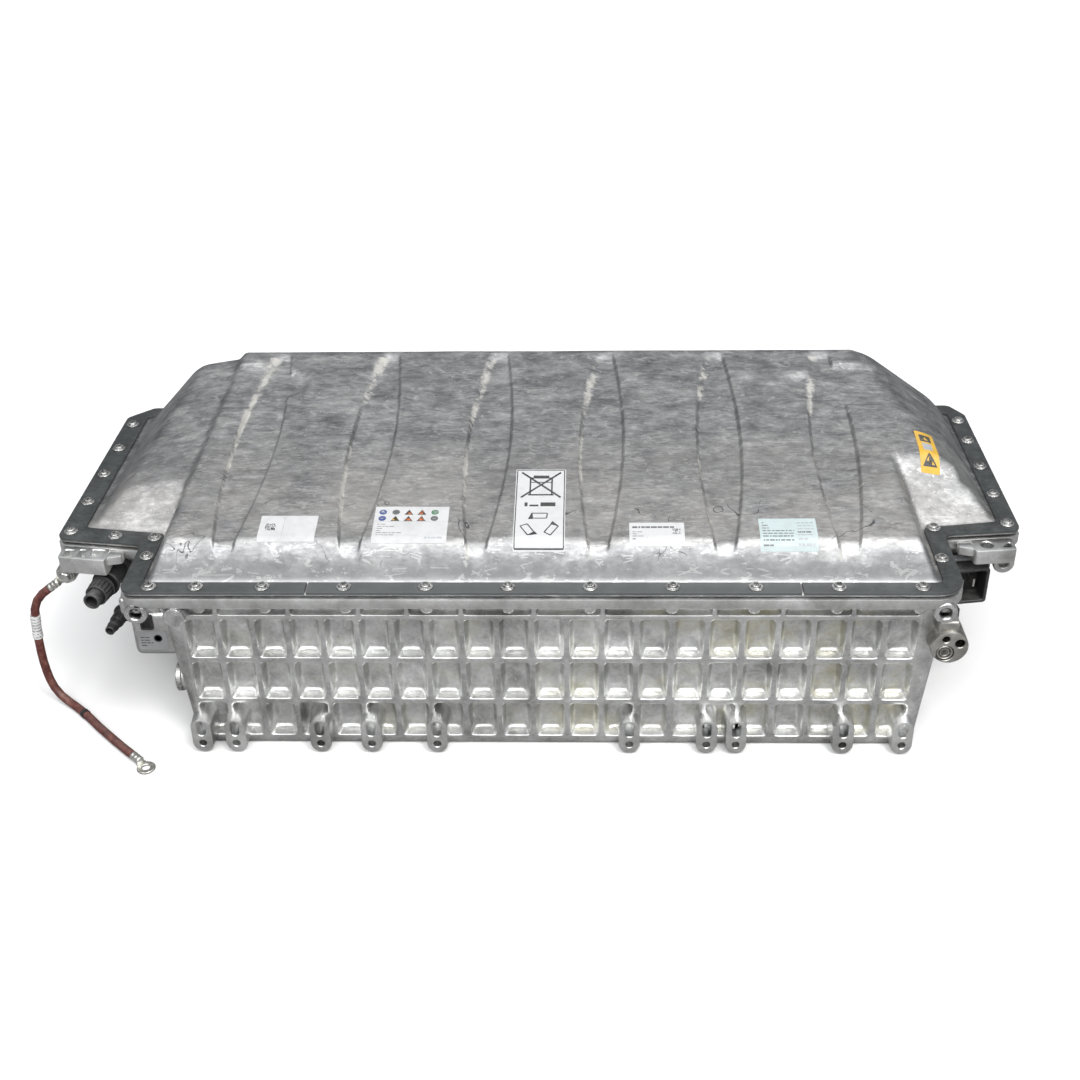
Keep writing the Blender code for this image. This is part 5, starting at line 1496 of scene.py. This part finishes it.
def plastic_material(name, dark, light, rough=(0.34, 0.6), dust_amount=0.35):
    """Moulded plastic with a fine spark-eroded grain and a little grey dust."""
    work = material_work(name, 0.0, 0.45)
    grain = work.grain(110.0, 1.1)
    fine = work.grain(700.0, 1.0)
    colour = work.ramp(grain["Tone"], ((0.1, dark), (0.9, light)))
    worn = edge_wear(work, 0.52, 0.62)
    colour = work.mix(work.times(worn, 0.25), colour, (0.25, 0.25, 0.25))
    dust = work.dust(dust_amount, 90.0)
    work.paint(work.mix(dust, colour, (0.3, 0.295, 0.28)))
    work.feed("Roughness", work.ramp(grain["Fine"], ((0.25, rough[0]), (0.8, rough[1]))))
    work.bump(fine["Height"], 0.0002, 0.4)
    return work.made


BLACK_PLASTIC = plastic_material("black_nylon", (0.01, 0.01, 0.011), (0.03, 0.03, 0.032))
GREY_PLASTIC = plastic_material("grey_nylon", (0.09, 0.095, 0.1), (0.17, 0.175, 0.18))
plug_bm = bmesh.new()
plug_loop = rounded_loop(bar(-0.426, 0.085, -0.412, 0.1035), 0.0022)
dimple = rounded_loop(bar(-0.4232, 0.0878, -0.4148, 0.1007), 0.0012)
pierced_block(plug_bm, plug_loop, ((dimple, 0.0012, 0.0004),),
              lambda u, v, w: Vector((u, BOX_LOW[1] - 0.0018 + w, v)), 0.004, 0.0007)
plug = mesh_object("tray_box_plug", plug_bm, BLACK_PLASTIC, 35)
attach(plug, "pack")

disc_bm = bmesh.new()
disc_at = (VENT_AT[0] - 0.0027, VENT_AT[1], VENT_AT[2])
lathe(disc_bm, mm([(0, 2.2), (0.2, 2.4), (13.2, 2.4), (13.6, 10.9), (14, 11.5), (15.8, 11.5), (16.4, 10.8),
                   (16.5, 7), (15.6, 6.2), (15.6, 3), (16.5, 2.4)]), 40, disc_at, (-1, 0, 0))
disc = mesh_object("vent_disc_poppet", disc_bm, BLACK_PLASTIC, 32)
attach(disc, "vent_disc")
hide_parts("vent_poppet")


# ---------------------------------------------------------------- quick couplings
# Two black nylon hose couplings on the left tub's front wall. The large one has a ribbed release
# collar that slides towards the wall; both end in an open mouth.
LEFT_WALL, RIGHT_WALL = ((-0.468, -0.081), (-0.381, -0.094)), ((0.394, -0.083), (0.472, -0.071))


def wall_frame(line, x, z):
    """A point on a tub's front wall, just off it, and the directions out of the wall and along it."""
    (x0, y0), (x1, y1) = line
    along = Vector((x1 - x0, y1 - y0, 0)).normalized()
    outward = Vector((along.y, -along.x, 0))
    return Vector((x, y0 + (y1 - y0) * (x - x0) / (x1 - x0), z)) + outward * 0.0003, outward, along


def ribbed_lathe(bm, profile, sides, origin, direction, ribs):
    """A closed turned shape whose tagged stations carry lengthwise grip ribs: (along, radius, rib)."""
    turn = Vector(direction).to_track_quat("Z", "Y").to_matrix()
    rings = []
    for along, radius, rib in profile[:-1]:
        ring = []
        for k in range(sides):
            angle = 2 * math.pi * k / sides
            reach = radius + rib * max(0.0, math.cos(ribs * angle)) ** 0.7
            ring.append(bm.verts.new(Vector(origin) + turn @ Vector((reach * math.cos(angle),
                                                                     reach * math.sin(angle), along))))
        rings.append(ring)
    skin(bm, rings, True)


at, outward, _ = wall_frame(LEFT_WALL, -0.442, 0.156)
large_bm = bmesh.new()
ribbed_lathe(
    large_bm, mm([(0, 15.5, 0), (0.6, 16, 0), (7.4, 16, 0), (8, 15.4, 0), (8.4, 11.8, 0), (10, 11.4, 0.6),
                  (29, 11.4, 0.6), (29.8, 11.8, 0), (30.2, 14, 0), (30.7, 14.5, 0), (33.5, 14.5, 0),
                  (34, 14, 0), (34.2, 8.8, 0), (60, 8.8, 0), (60.4, 8.2, 0), (62.2, 8.2, 0), (62.6, 8.8, 0),
                  (67.4, 8.8, 0), (68, 8.3, 0), (68, 6.7, 0), (67.4, 6.2, 0), (16, 6.2, 0), (15.5, 1, 0),
                  (0.3, 1, 0), (0, 15.5, 0)]), 72, at, outward, 12)
large = mesh_object("large_coupling_body", large_bm, BLACK_PLASTIC, 32)
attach(large, "pack")
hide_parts("large_coupling")
collar_bm = bmesh.new()
ribbed_lathe(
    collar_bm, mm([(0, 9.5, 0), (0, 12.2, 0), (0.6, 12.7, 0), (3, 12.7, 0), (3.4, 11.2, 1), (10, 11, 1.2),
                   (16, 10.8, 0.8), (16.6, 11.3, 0), (17.6, 11.6, 0), (18, 11.1, 0), (18, 9.6, 0),
                   (17.2, 9.2, 0), (0.8, 9.2, 0), (0, 9.5, 0)]), 72, at + outward * 0.0385, outward, 18)
collar = mesh_object("large_coupling_release", collar_bm, BLACK_PLASTIC, 32)
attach(collar, "collar")
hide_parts("large_coupling_collar")

at, outward, _ = wall_frame(LEFT_WALL, -0.431, 0.118)
small_bm = bmesh.new()
ribbed_lathe(
    small_bm, mm([(0, 10, 0), (0.5, 10.5, 0), (6.5, 10.5, 0), (7, 10, 0), (7.2, 7.3, 0.4), (27.8, 7.3, 0.4),
                  (28.2, 9.4, 0), (28.8, 9.8, 0), (31.6, 9.8, 0), (32, 9.3, 0), (32.2, 6.6, 0.8),
                  (47, 6.6, 0.8), (47.6, 7, 0), (48.2, 6.2, 0), (54, 5.6, 0), (54.4, 6.1, 0), (56, 6, 0),
                  (56.4, 5.4, 0), (63.4, 5.1, 0), (64, 4.6, 0), (64, 3.9, 0), (63.4, 3.6, 0), (16, 3.6, 0),
                  (15.5, 1, 0), (0.3, 1, 0), (0, 10, 0)]), 60, at, outward, 10)
small = mesh_object("small_coupling_body", small_bm, BLACK_PLASTIC, 32)
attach(small, "pack")
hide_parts("small_coupling")


# ---------------------------------------------------------------- refrigerant block
# A round aluminium connection block with two sealed ports and a bolt hole, screwed to the front of
# the right tub; a neck ties it to the flange. Two pipes run back from it into the pack.
BLOCK_X, BLOCK_Z, BLOCK_RADIUS = 0.4072, 0.136, 0.0184


def dark_metal_material():
    work = material_work("grimy_aluminium", 1.0, 0.42)
    grain = work.grain(120.0, 1.5)
    colour = work.ramp(
        grain["Tone"], ((0.05, (0.055, 0.05, 0.045)), (0.5, (0.17, 0.16, 0.145)),
                        (1.0, (0.46, 0.45, 0.42))))
    worn = edge_wear(work, 0.51, 0.58)
    work.paint(work.mix(work.times(worn, 0.8), colour, (0.75, 0.74, 0.7)))
    return work.surface(grain, (0.3, 0.28), (0.8, 0.6), 0.0005, 0.5)


GRIMY = dark_metal_material()
block_bm = bmesh.new()
block_holes = [
    (ring_of((BLOCK_X - 0.004, BLOCK_Z - 0.0065), 0.0088, 32), 0.0025, 0.0006),
    (ring_of((BLOCK_X + 0.0095, BLOCK_Z + 0.005), 0.0046, 24), 0.015, 0.0008),
    (ring_of((BLOCK_X - 0.0045, BLOCK_Z + 0.0098), 0.0036, 24), 0.015, 0.0007)]
pierced_block(
    block_bm, ring_of((BLOCK_X, BLOCK_Z), BLOCK_RADIUS, 56), block_holes,
    lambda u, v, w: Vector((u, LUG_FACE + w, v)), 0.0298, 0.0016)
port_at = (BLOCK_X - 0.004, LUG_FACE + 0.0027, BLOCK_Z - 0.0065)
lathe(block_bm, mm([(0, 6.2), (-1.6, 6.3), (-2, 6.8), (-2, 7.6), (-1.4, 8.1), (0, 8.2), (0, 6.2)]), 32,
      port_at, (0, 1, 0))
lathe(block_bm, mm([(-0.8, 3.2), (-1.3, 3.8), (-1.3, 4.4), (0, 4.6)]), 24, port_at, (0, 1, 0))
neck_low = (BLOCK_X - 0.012, LUG_FACE + 0.004, BLOCK_Z + 0.01)
absorb(block_bm, box_solid(neck_low, (BLOCK_X + 0.008, LUG_FACE + 0.022, 0.164), 0.0025))
block = mesh_object("refrigerant_connection", block_bm, GRIMY, 35)
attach(block, "pack")
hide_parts("refrigerant_block")


# ---------------------------------------------------------------- panel headers and lever
# A high-voltage header with a locking lever and a smaller signal header, black and grey nylon, on
# the right tub's front wall. Each shroud is open to the front with plated pins inside.
def header(name, centre_x, centre_z, half_w, half_h, depth, pins):
    origin, outward, along = wall_frame(RIGHT_WALL, centre_x, centre_z)
    face = lambda extra: lambda u, v, w: origin + along * u + Vector((0, 0, v)) + outward * (
        depth + extra - w)

    def panel(grown, radius):
        return rounded_loop(bar(-half_w - grown, -half_h - grown, half_w + grown, half_h + grown), radius)

    bm = bmesh.new()
    mouth = (panel(-0.0035, 0.0025), depth - 0.009, 0.0007)
    pierced_block(bm, panel(0.0, 0.0035), (mouth,), face(0.0), depth - 0.0002, 0.0008)
    pierced_block(bm, panel(0.0025, 0.004), (), face(0.004 - depth), 0.0038, 0.0006)
    for side in (-1, 1):
        for step in (-0.5, 0.0, 0.5):
            u, v = side * half_w, step * half_h
            rib = anticlockwise(bar(u - 0.0004, v - 0.0009, u + 0.0011 * side, v + 0.0009))
            pierced_block(bm, rib, (), face(0.015 - depth), 0.012, 0.0002)
    piece = mesh_object(name + "_shroud", bm, BLACK_PLASTIC, 35)
    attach(piece, "pack")
    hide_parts(name)
    pin_bm = bmesh.new()
    for u in pins:
        blade = bar(u - 0.0011, -0.0045, u + 0.0011, 0.0045)
        pierced_block(pin_bm, blade, (), face(-0.0065), depth - 0.015, 0.0004)
    pin_piece = mesh_object(name + "_pins", pin_bm, TIN, 35)
    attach(pin_piece, "pack")
    return origin, outward, along


hv_origin, hv_out, hv_along = header("high_voltage_header", 0.443, 0.144, 0.019, 0.021, 0.03, (-0.006, 0.006))
header("signal_header", 0.426, 0.103, 0.012, 0.013, 0.026, (-0.004, 0.0, 0.004))

lever_bm = bmesh.new()
pivot = hv_origin + hv_out * 0.017
inside, outside = 0.0196, 0.0218
side_at = lambda u, v, w: pivot + hv_along * u + Vector((0, 0, v)) + hv_out * (0.004 - w)
lever_loop = anticlockwise(
    [(-outside, -0.0035), (-inside - 0.0006, -0.005), (-inside, -0.0035), (-inside, 0.025),
     (-inside + 0.0015, 0.0265), (inside - 0.0015, 0.0265), (inside, 0.025), (inside, -0.0035),
     (inside + 0.0006, -0.005), (outside, -0.0035), (outside, 0.0275), (outside - 0.002, 0.0295),
     (-outside + 0.002, 0.0295), (-outside, 0.0275)])
pierced_block(lever_bm, lever_loop, (), side_at, 0.008, 0.0004)
for u in (-0.012, -0.006, 0.0, 0.006, 0.012):
    grip = bar(u - 0.001, 0.0268, u + 0.001, 0.029)
    pierced_block(lever_bm, grip, (), lambda p, q, w: side_at(p, q, w - 0.0003), 0.0086, 0.0002)
lever = mesh_object("header_lever_bail", lever_bm, GREY_PLASTIC, 35)
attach(lever, "lever")
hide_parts("header_lever")


# ---------------------------------------------------------------- labels
# Printed vinyl labels stuck on the cover and one on the left tub. Their artwork is plain: bars, small
# code squares, round and triangular signs, a struck-out cell and a loop of arrows.
INK_COLOURS = {
    "black": (0.02, 0.02, 0.022), "grey": (0.1, 0.105, 0.11), "orange": (0.5, 0.13, 0.03),
    "yellow": (0.62, 0.38, 0.03), "blue": (0.03, 0.06, 0.22), "green": (0.06, 0.2, 0.09),
    "pale": (0.36, 0.38, 0.4)}


def print_material(name, colour, roughness=0.38):
    """Vinyl or ink with handling dirt and hairline scratches."""
    work = material_work(name, 0.0, roughness)
    grain = work.grain(70.0, 1.0)
    dim = tuple(0.86 * channel for channel in colour)
    tone = work.ramp(grain["Tone"], ((0.1, dim), (0.6, colour)))
    marks = work.scratches(300.0, 0.014, 0.5)
    tone = work.mix(work.times(marks, 0.4), tone, (0.45, 0.45, 0.44))
    dust = work.dust(0.22, 60.0)
    work.paint(work.mix(dust, tone, (0.55, 0.54, 0.51)))
    return work.surface(grain, (0.3, roughness - 0.08), (0.8, roughness + 0.15), 0.0001, 0.3)


PAPER = print_material("white_vinyl", (0.55, 0.56, 0.57))
BLUE_PAPER = print_material("pale_blue_vinyl", (0.45, 0.53, 0.54))
YELLOW_PAPER = print_material("yellow_vinyl", (0.66, 0.38, 0.02))
GREY_PAPER = print_material("grey_vinyl", (0.42, 0.43, 0.44))
INKS = {name: print_material(name + "_ink", colour) for name, colour in INK_COLOURS.items()}


def stroke(x0, y0, x1, y1, width):
    """A straight line of ink as a four-sided polygon."""
    along = Vector((x1 - x0, y1 - y0)).normalized()
    side = Vector((-along.y, along.x)) * width / 2
    return [(x0 + side.x, y0 + side.y), (x0 - side.x, y0 - side.y), (x1 - side.x, y1 - side.y),
            (x1 + side.x, y1 + side.y)]


def disc_shape(x, y, radius, count=20):
    return [(x + radius * math.cos(2 * math.pi * k / count), y + radius * math.sin(2 * math.pi * k / count))
            for k in range(count)]


def triangle(x, y, size):
    return [(x - 0.5 * size, y - 0.43 * size), (x + 0.5 * size, y - 0.43 * size), (x, y + 0.43 * size)]


def frame_strokes(x0, y0, x1, y1, width):
    return [stroke(x0, y0, x1, y0, width), stroke(x1, y0, x1, y1, width), stroke(x1, y1, x0, y1, width),
            stroke(x0, y1, x0, y0, width)]


def code_square(x, y, size, cells, seed):
    """A block of random small squares with three plain corner squares."""
    dice = np.random.default_rng(seed)
    step = size / cells
    shapes = []
    for i in range(cells):
        for j in range(cells):
            if dice.random() < 0.48:
                shapes.append(bar(x + i * step, y + j * step, x + (i + 1) * step, y + (j + 1) * step))
    return shapes


def bar_rows(x0, y0, x1, y1, rows, seed, thick=0.38):
    """Rows of broken bars where small print would be."""
    dice = np.random.default_rng(seed)
    shapes = []
    pitch = (y1 - y0) / rows
    for row in range(rows):
        x, y = x0, y0 + row * pitch
        while x < x1 - 1.0:
            length = min(x1 - x, dice.uniform(1.5, 6.0))
            shapes.append(bar(x, y, x + length, y + pitch * thick))
            x += length + dice.uniform(0.6, 1.2)
            if dice.random() < 0.18:
                break
    return shapes


FOLD = 3.0


def stick_label(name, corner, size, paper, inks, surface=None, corner_radius=0.8, thick=0.16):
    """A label made flat, in millimetres from its corner, then cut along a grid of folds and laid on a
    surface. surface(u, v, lift) gives a point's place on it."""
    width, height = size
    surface = surface or over_cover(corner, size)
    bm = bmesh.new()
    order = sorted({ink for ink, _ in inks})
    vinyl = rounded_loop(bar(0.0, 0.0, width, height), corner_radius, 3)
    layers = [(0, vinyl, 0.0, thick)]
    layers += [(1 + order.index(ink), anticlockwise(shape), thick * 0.5, thick + 0.06) for ink, shape in inks]
    for index, shape, low_level, high_level in layers:
        low = [bm.verts.new((u, v, low_level)) for u, v in shape]
        high = [bm.verts.new((u, v, high_level)) for u, v in shape]
        made = [bm.faces.new(low[::-1]), bm.faces.new(high)]
        for k in range(len(shape)):
            j = (k + 1) % len(shape)
            made.append(bm.faces.new((low[k], low[j], high[j], high[k])))
        for face in made:
            face.material_index = index
    for axis, length in ((0, width), (1, height)):
        for k in range(1, math.ceil(length / FOLD)):
            cut = Vector((FOLD * k, 0, 0)) if axis == 0 else Vector((0, FOLD * k, 0))
            bmesh.ops.bisect_plane(
                bm, geom=bm.verts[:] + bm.edges[:] + bm.faces[:], plane_co=cut, plane_no=cut, dist=1e-5)
    for vert in bm.verts:
        vert.co = surface(vert.co.x, vert.co.y, vert.co.z / 1000)
    piece_mesh = bpy.data.meshes.new(name)
    bm.to_mesh(piece_mesh)
    bm.free()
    for finish in [paper] + [INKS[ink] for ink in order]:
        piece_mesh.materials.append(finish)
    piece = link(bpy.data.objects.new(name, piece_mesh))
    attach(piece, "pack")


def over_cover(corner, size):
    """A label's place just above the cover, straight between its folds."""
    us, vs = (FOLD * np.arange(math.ceil(size[k] / FOLD) + 1) for k in (0, 1))
    levels = cover_level(*np.meshgrid((corner[0] + us) / 1000, (corner[1] + vs) / 1000, indexing="ij"))

    def surface(u, v, lift):
        i, j = min(int(u / FOLD), len(us) - 2), min(int(v / FOLD), len(vs) - 2)
        across, along = u / FOLD - i, v / FOLD - j
        near = levels[i][j] * (1 - across) + levels[i + 1][j] * across
        far = levels[i][j + 1] * (1 - across) + levels[i + 1][j + 1] * across
        return Vector(((corner[0] + u) / 1000, (corner[1] + v) / 1000,
                       near * (1 - along) + far * along + 0.00025 + lift))
    return surface


def inked(ink, shapes):
    return [(ink, shape) for shape in shapes]


stick_label("label_code", (-272, -161), (57, 36), PAPER,
            inked("black", code_square(6, 14, 10, 12, 5)) + inked("pale", [stroke(24, 3, 24, 33, 0.4)]))

signs = []
for row, y in enumerate((42.5, 33.0)):
    for column in range(5):
        x = 8.0 + 13.0 * column
        if (row + column) % 5 in (2, 3) or (row == 1 and column in (1, 2, 3)):
            signs += inked("black", [triangle(x, y, 9.0)]) + inked(
                "yellow" if column == 1 else "orange", [triangle(x, y - 0.2, 7.0)])
            signs += inked("black", [bar(x - 0.5, y - 1.8, x + 0.5, y + 1.2)])
        else:
            ink = "blue" if column == 0 else "green" if row == 0 and column == 4 else "grey"
            signs += inked(ink, [disc_shape(x, y, 3.8)])
            signs += inked("pale", [bar(x - 2.0, y - 0.5, x + 2.0, y + 0.5)] if row
                           else [disc_shape(x + 0.4, y + 0.3, 2.2)])
stick_label(
    "label_signs", (-159, -162), (74, 51), PAPER, signs + inked("grey", bar_rows(4, 8, 42, 27, 6, 11, 0.22))
    + inked("pale", bar_rows(52, 4, 71, 8, 1, 12, 0.4)) + inked("pale", [stroke(4, 28.5, 70, 28.5, 0.3)]))

big = inked("black", frame_strokes(1.4, 1.4, 49.6, 113.6, 1.0))
big += inked("black", [stroke(6, 110, 46, 70, 2.3), stroke(46, 110, 6, 70, 2.3)])
big += inked("black", frame_strokes(15, 74, 37, 101, 1.6)
             + [bar(18, 101.5, 34, 105), stroke(15, 94, 37, 94, 1.3), stroke(13, 74, 39, 74, 2.0)])
big += inked("black", [bar(10, 56, 13, 62), bar(15, 56, 24, 58.5), bar(26, 56, 41, 62)])
for k in range(3):
    turn = 2 * math.pi * k / 3 + math.pi / 2
    centre = Vector((25.5, 28.0))
    corners = [centre + 19.0 * Vector((math.cos(turn + a), math.sin(turn + a))) for a in (-0.42, 0.42)]
    inner = [centre + 12.0 * Vector((math.cos(turn + a), math.sin(turn + a))) for a in (-0.62, 0.62)]
    for a, b in ((corners[0], corners[1]), (inner[0], inner[1]), (corners[0], inner[0]),
                 (corners[1], inner[1])):
        big += inked("black", [stroke(a.x, a.y, b.x, b.y, 1.3)])
    tip_way = (inner[1] - corners[1]).normalized()
    tip = (corners[1] + inner[1]) / 2
    side = Vector((-math.sin(turn + 0.9), math.cos(turn + 0.9)))
    big += inked("black", [[tuple(tip + tip_way * 5.0), tuple(tip - tip_way * 5.0), tuple(tip + side * 6.5)]])
stick_label("label_recycling", (-20, -167), (51, 115), PAPER, big)

stick_label(
    "label_code_right", (94, -164), (54, 28), PAPER, inked("grey", bar_rows(3, 20, 44, 25, 1, 21, 0.5))
    + inked("grey", bar_rows(3, 5, 36, 17, 4, 22, 0.25)) + inked("black", code_square(42, 11, 8, 10, 9)))
stick_label(
    "label_data", (221, -167), (56, 37), BLUE_PAPER, inked("grey", bar_rows(3, 3, 34, 34, 8, 31, 0.3))
    + inked("pale", bar_rows(37, 3, 53, 34, 7, 32, 0.4))
    + inked("black", bar_rows(37, 16, 50, 20, 1, 33, 0.4)))
stick_label(
    "label_caution", (398, -40), (20, 54), YELLOW_PAPER,
    inked("black", [triangle(10, 11, 15)]) + inked("yellow", [triangle(10, 10.6, 10.5)])
    + inked("black", [bar(9.3, 8.4, 10.7, 12.6), bar(4, 36, 16, 48)]) + inked("pale", [bar(5, 21, 15, 33)])
    + inked("yellow", [triangle(10, 42, 7)]), None, 1.6)


def on_left_box(u, v, lift):
    return Vector(
        (BOX_LOW[0] + 0.0055 + u / 1000, BOX_LOW[1] - 0.00005 - lift, BOX_LOW[2] + 0.0085 + v / 1000))


stick_label(
    "label_tub", (0, 0), (32, 24), GREY_PAPER, inked("black", [disc_shape(22, 15, 4.6)])
    + inked("pale", [disc_shape(22, 15, 3.2)]) + inked("black", bar_rows(3, 5, 16, 19, 4, 41, 0.3)),
    on_left_box)


# ---------------------------------------------------------------- modules and electronics
# What the closed cover hides: wrapped prismatic cells between cast end plates, busbar carriers,
# cooling plates, the controller, contactors, fuse and sensor. They keep their solids.
def wrap_material():
    """Blue insulating film over the cell cans, slightly wrinkled."""
    work = material_work("cell_wrap_film", 0.0, 0.3)
    grain = work.grain(60.0, 1.0)
    work.paint(work.ramp(grain["Tone"], ((0.1, (0.03, 0.075, 0.22)), (0.9, (0.06, 0.13, 0.34)))))
    return work.surface(grain, (0.3, 0.22), (0.8, 0.4), 0.0006, 0.4)


def brushed_material(name, tint, roughness):
    """Rolled or drawn metal with a fine directional grain."""
    work = material_work(name, 1.0, roughness)
    grain = work.grain(60.0, 0.8, 14.0)
    darker = tuple(0.75 * channel for channel in tint)
    work.paint(work.ramp(grain["Tone"], ((0.1, darker), (0.9, tint))))
    return work.surface(grain, (0.3, roughness - 0.08), (0.8, roughness + 0.12), 0.0002, 0.4)


WRAP = wrap_material()
COPPER = brushed_material("rolled_copper", (0.8, 0.44, 0.3), 0.3)
PLATE = brushed_material("rolled_aluminium", (0.72, 0.72, 0.71), 0.34)
CERAMIC = plastic_material("fuse_ceramic", (0.62, 0.61, 0.58), (0.78, 0.77, 0.74), (0.2, 0.4), 0.1)
INNER_FINISH = (
    ("cell_stack_", WRAP), ("end_plate_", CASTING), ("busbar_carrier_", BLACK_PLASTIC),
    ("cooling_plate_", PLATE), ("series_link_", COPPER), ("battery_controller", GREY_PLASTIC),
    ("junction_box_base", BLACK_PLASTIC), ("contactor_plunger_", ZINC), ("contactor_", BLACK_PLASTIC),
    ("main_fuse", CERAMIC), ("current_sensor", GREY_PLASTIC), ("suction_pipe", PLATE),
    ("liquid_pipe", PLATE), ("cover_seal", RUBBER))
for name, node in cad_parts.items():
    for prefix, finish in INNER_FINISH:
        if name.startswith(prefix):
            for material_slot in node.material_slots:
                material_slot.material = finish
            break
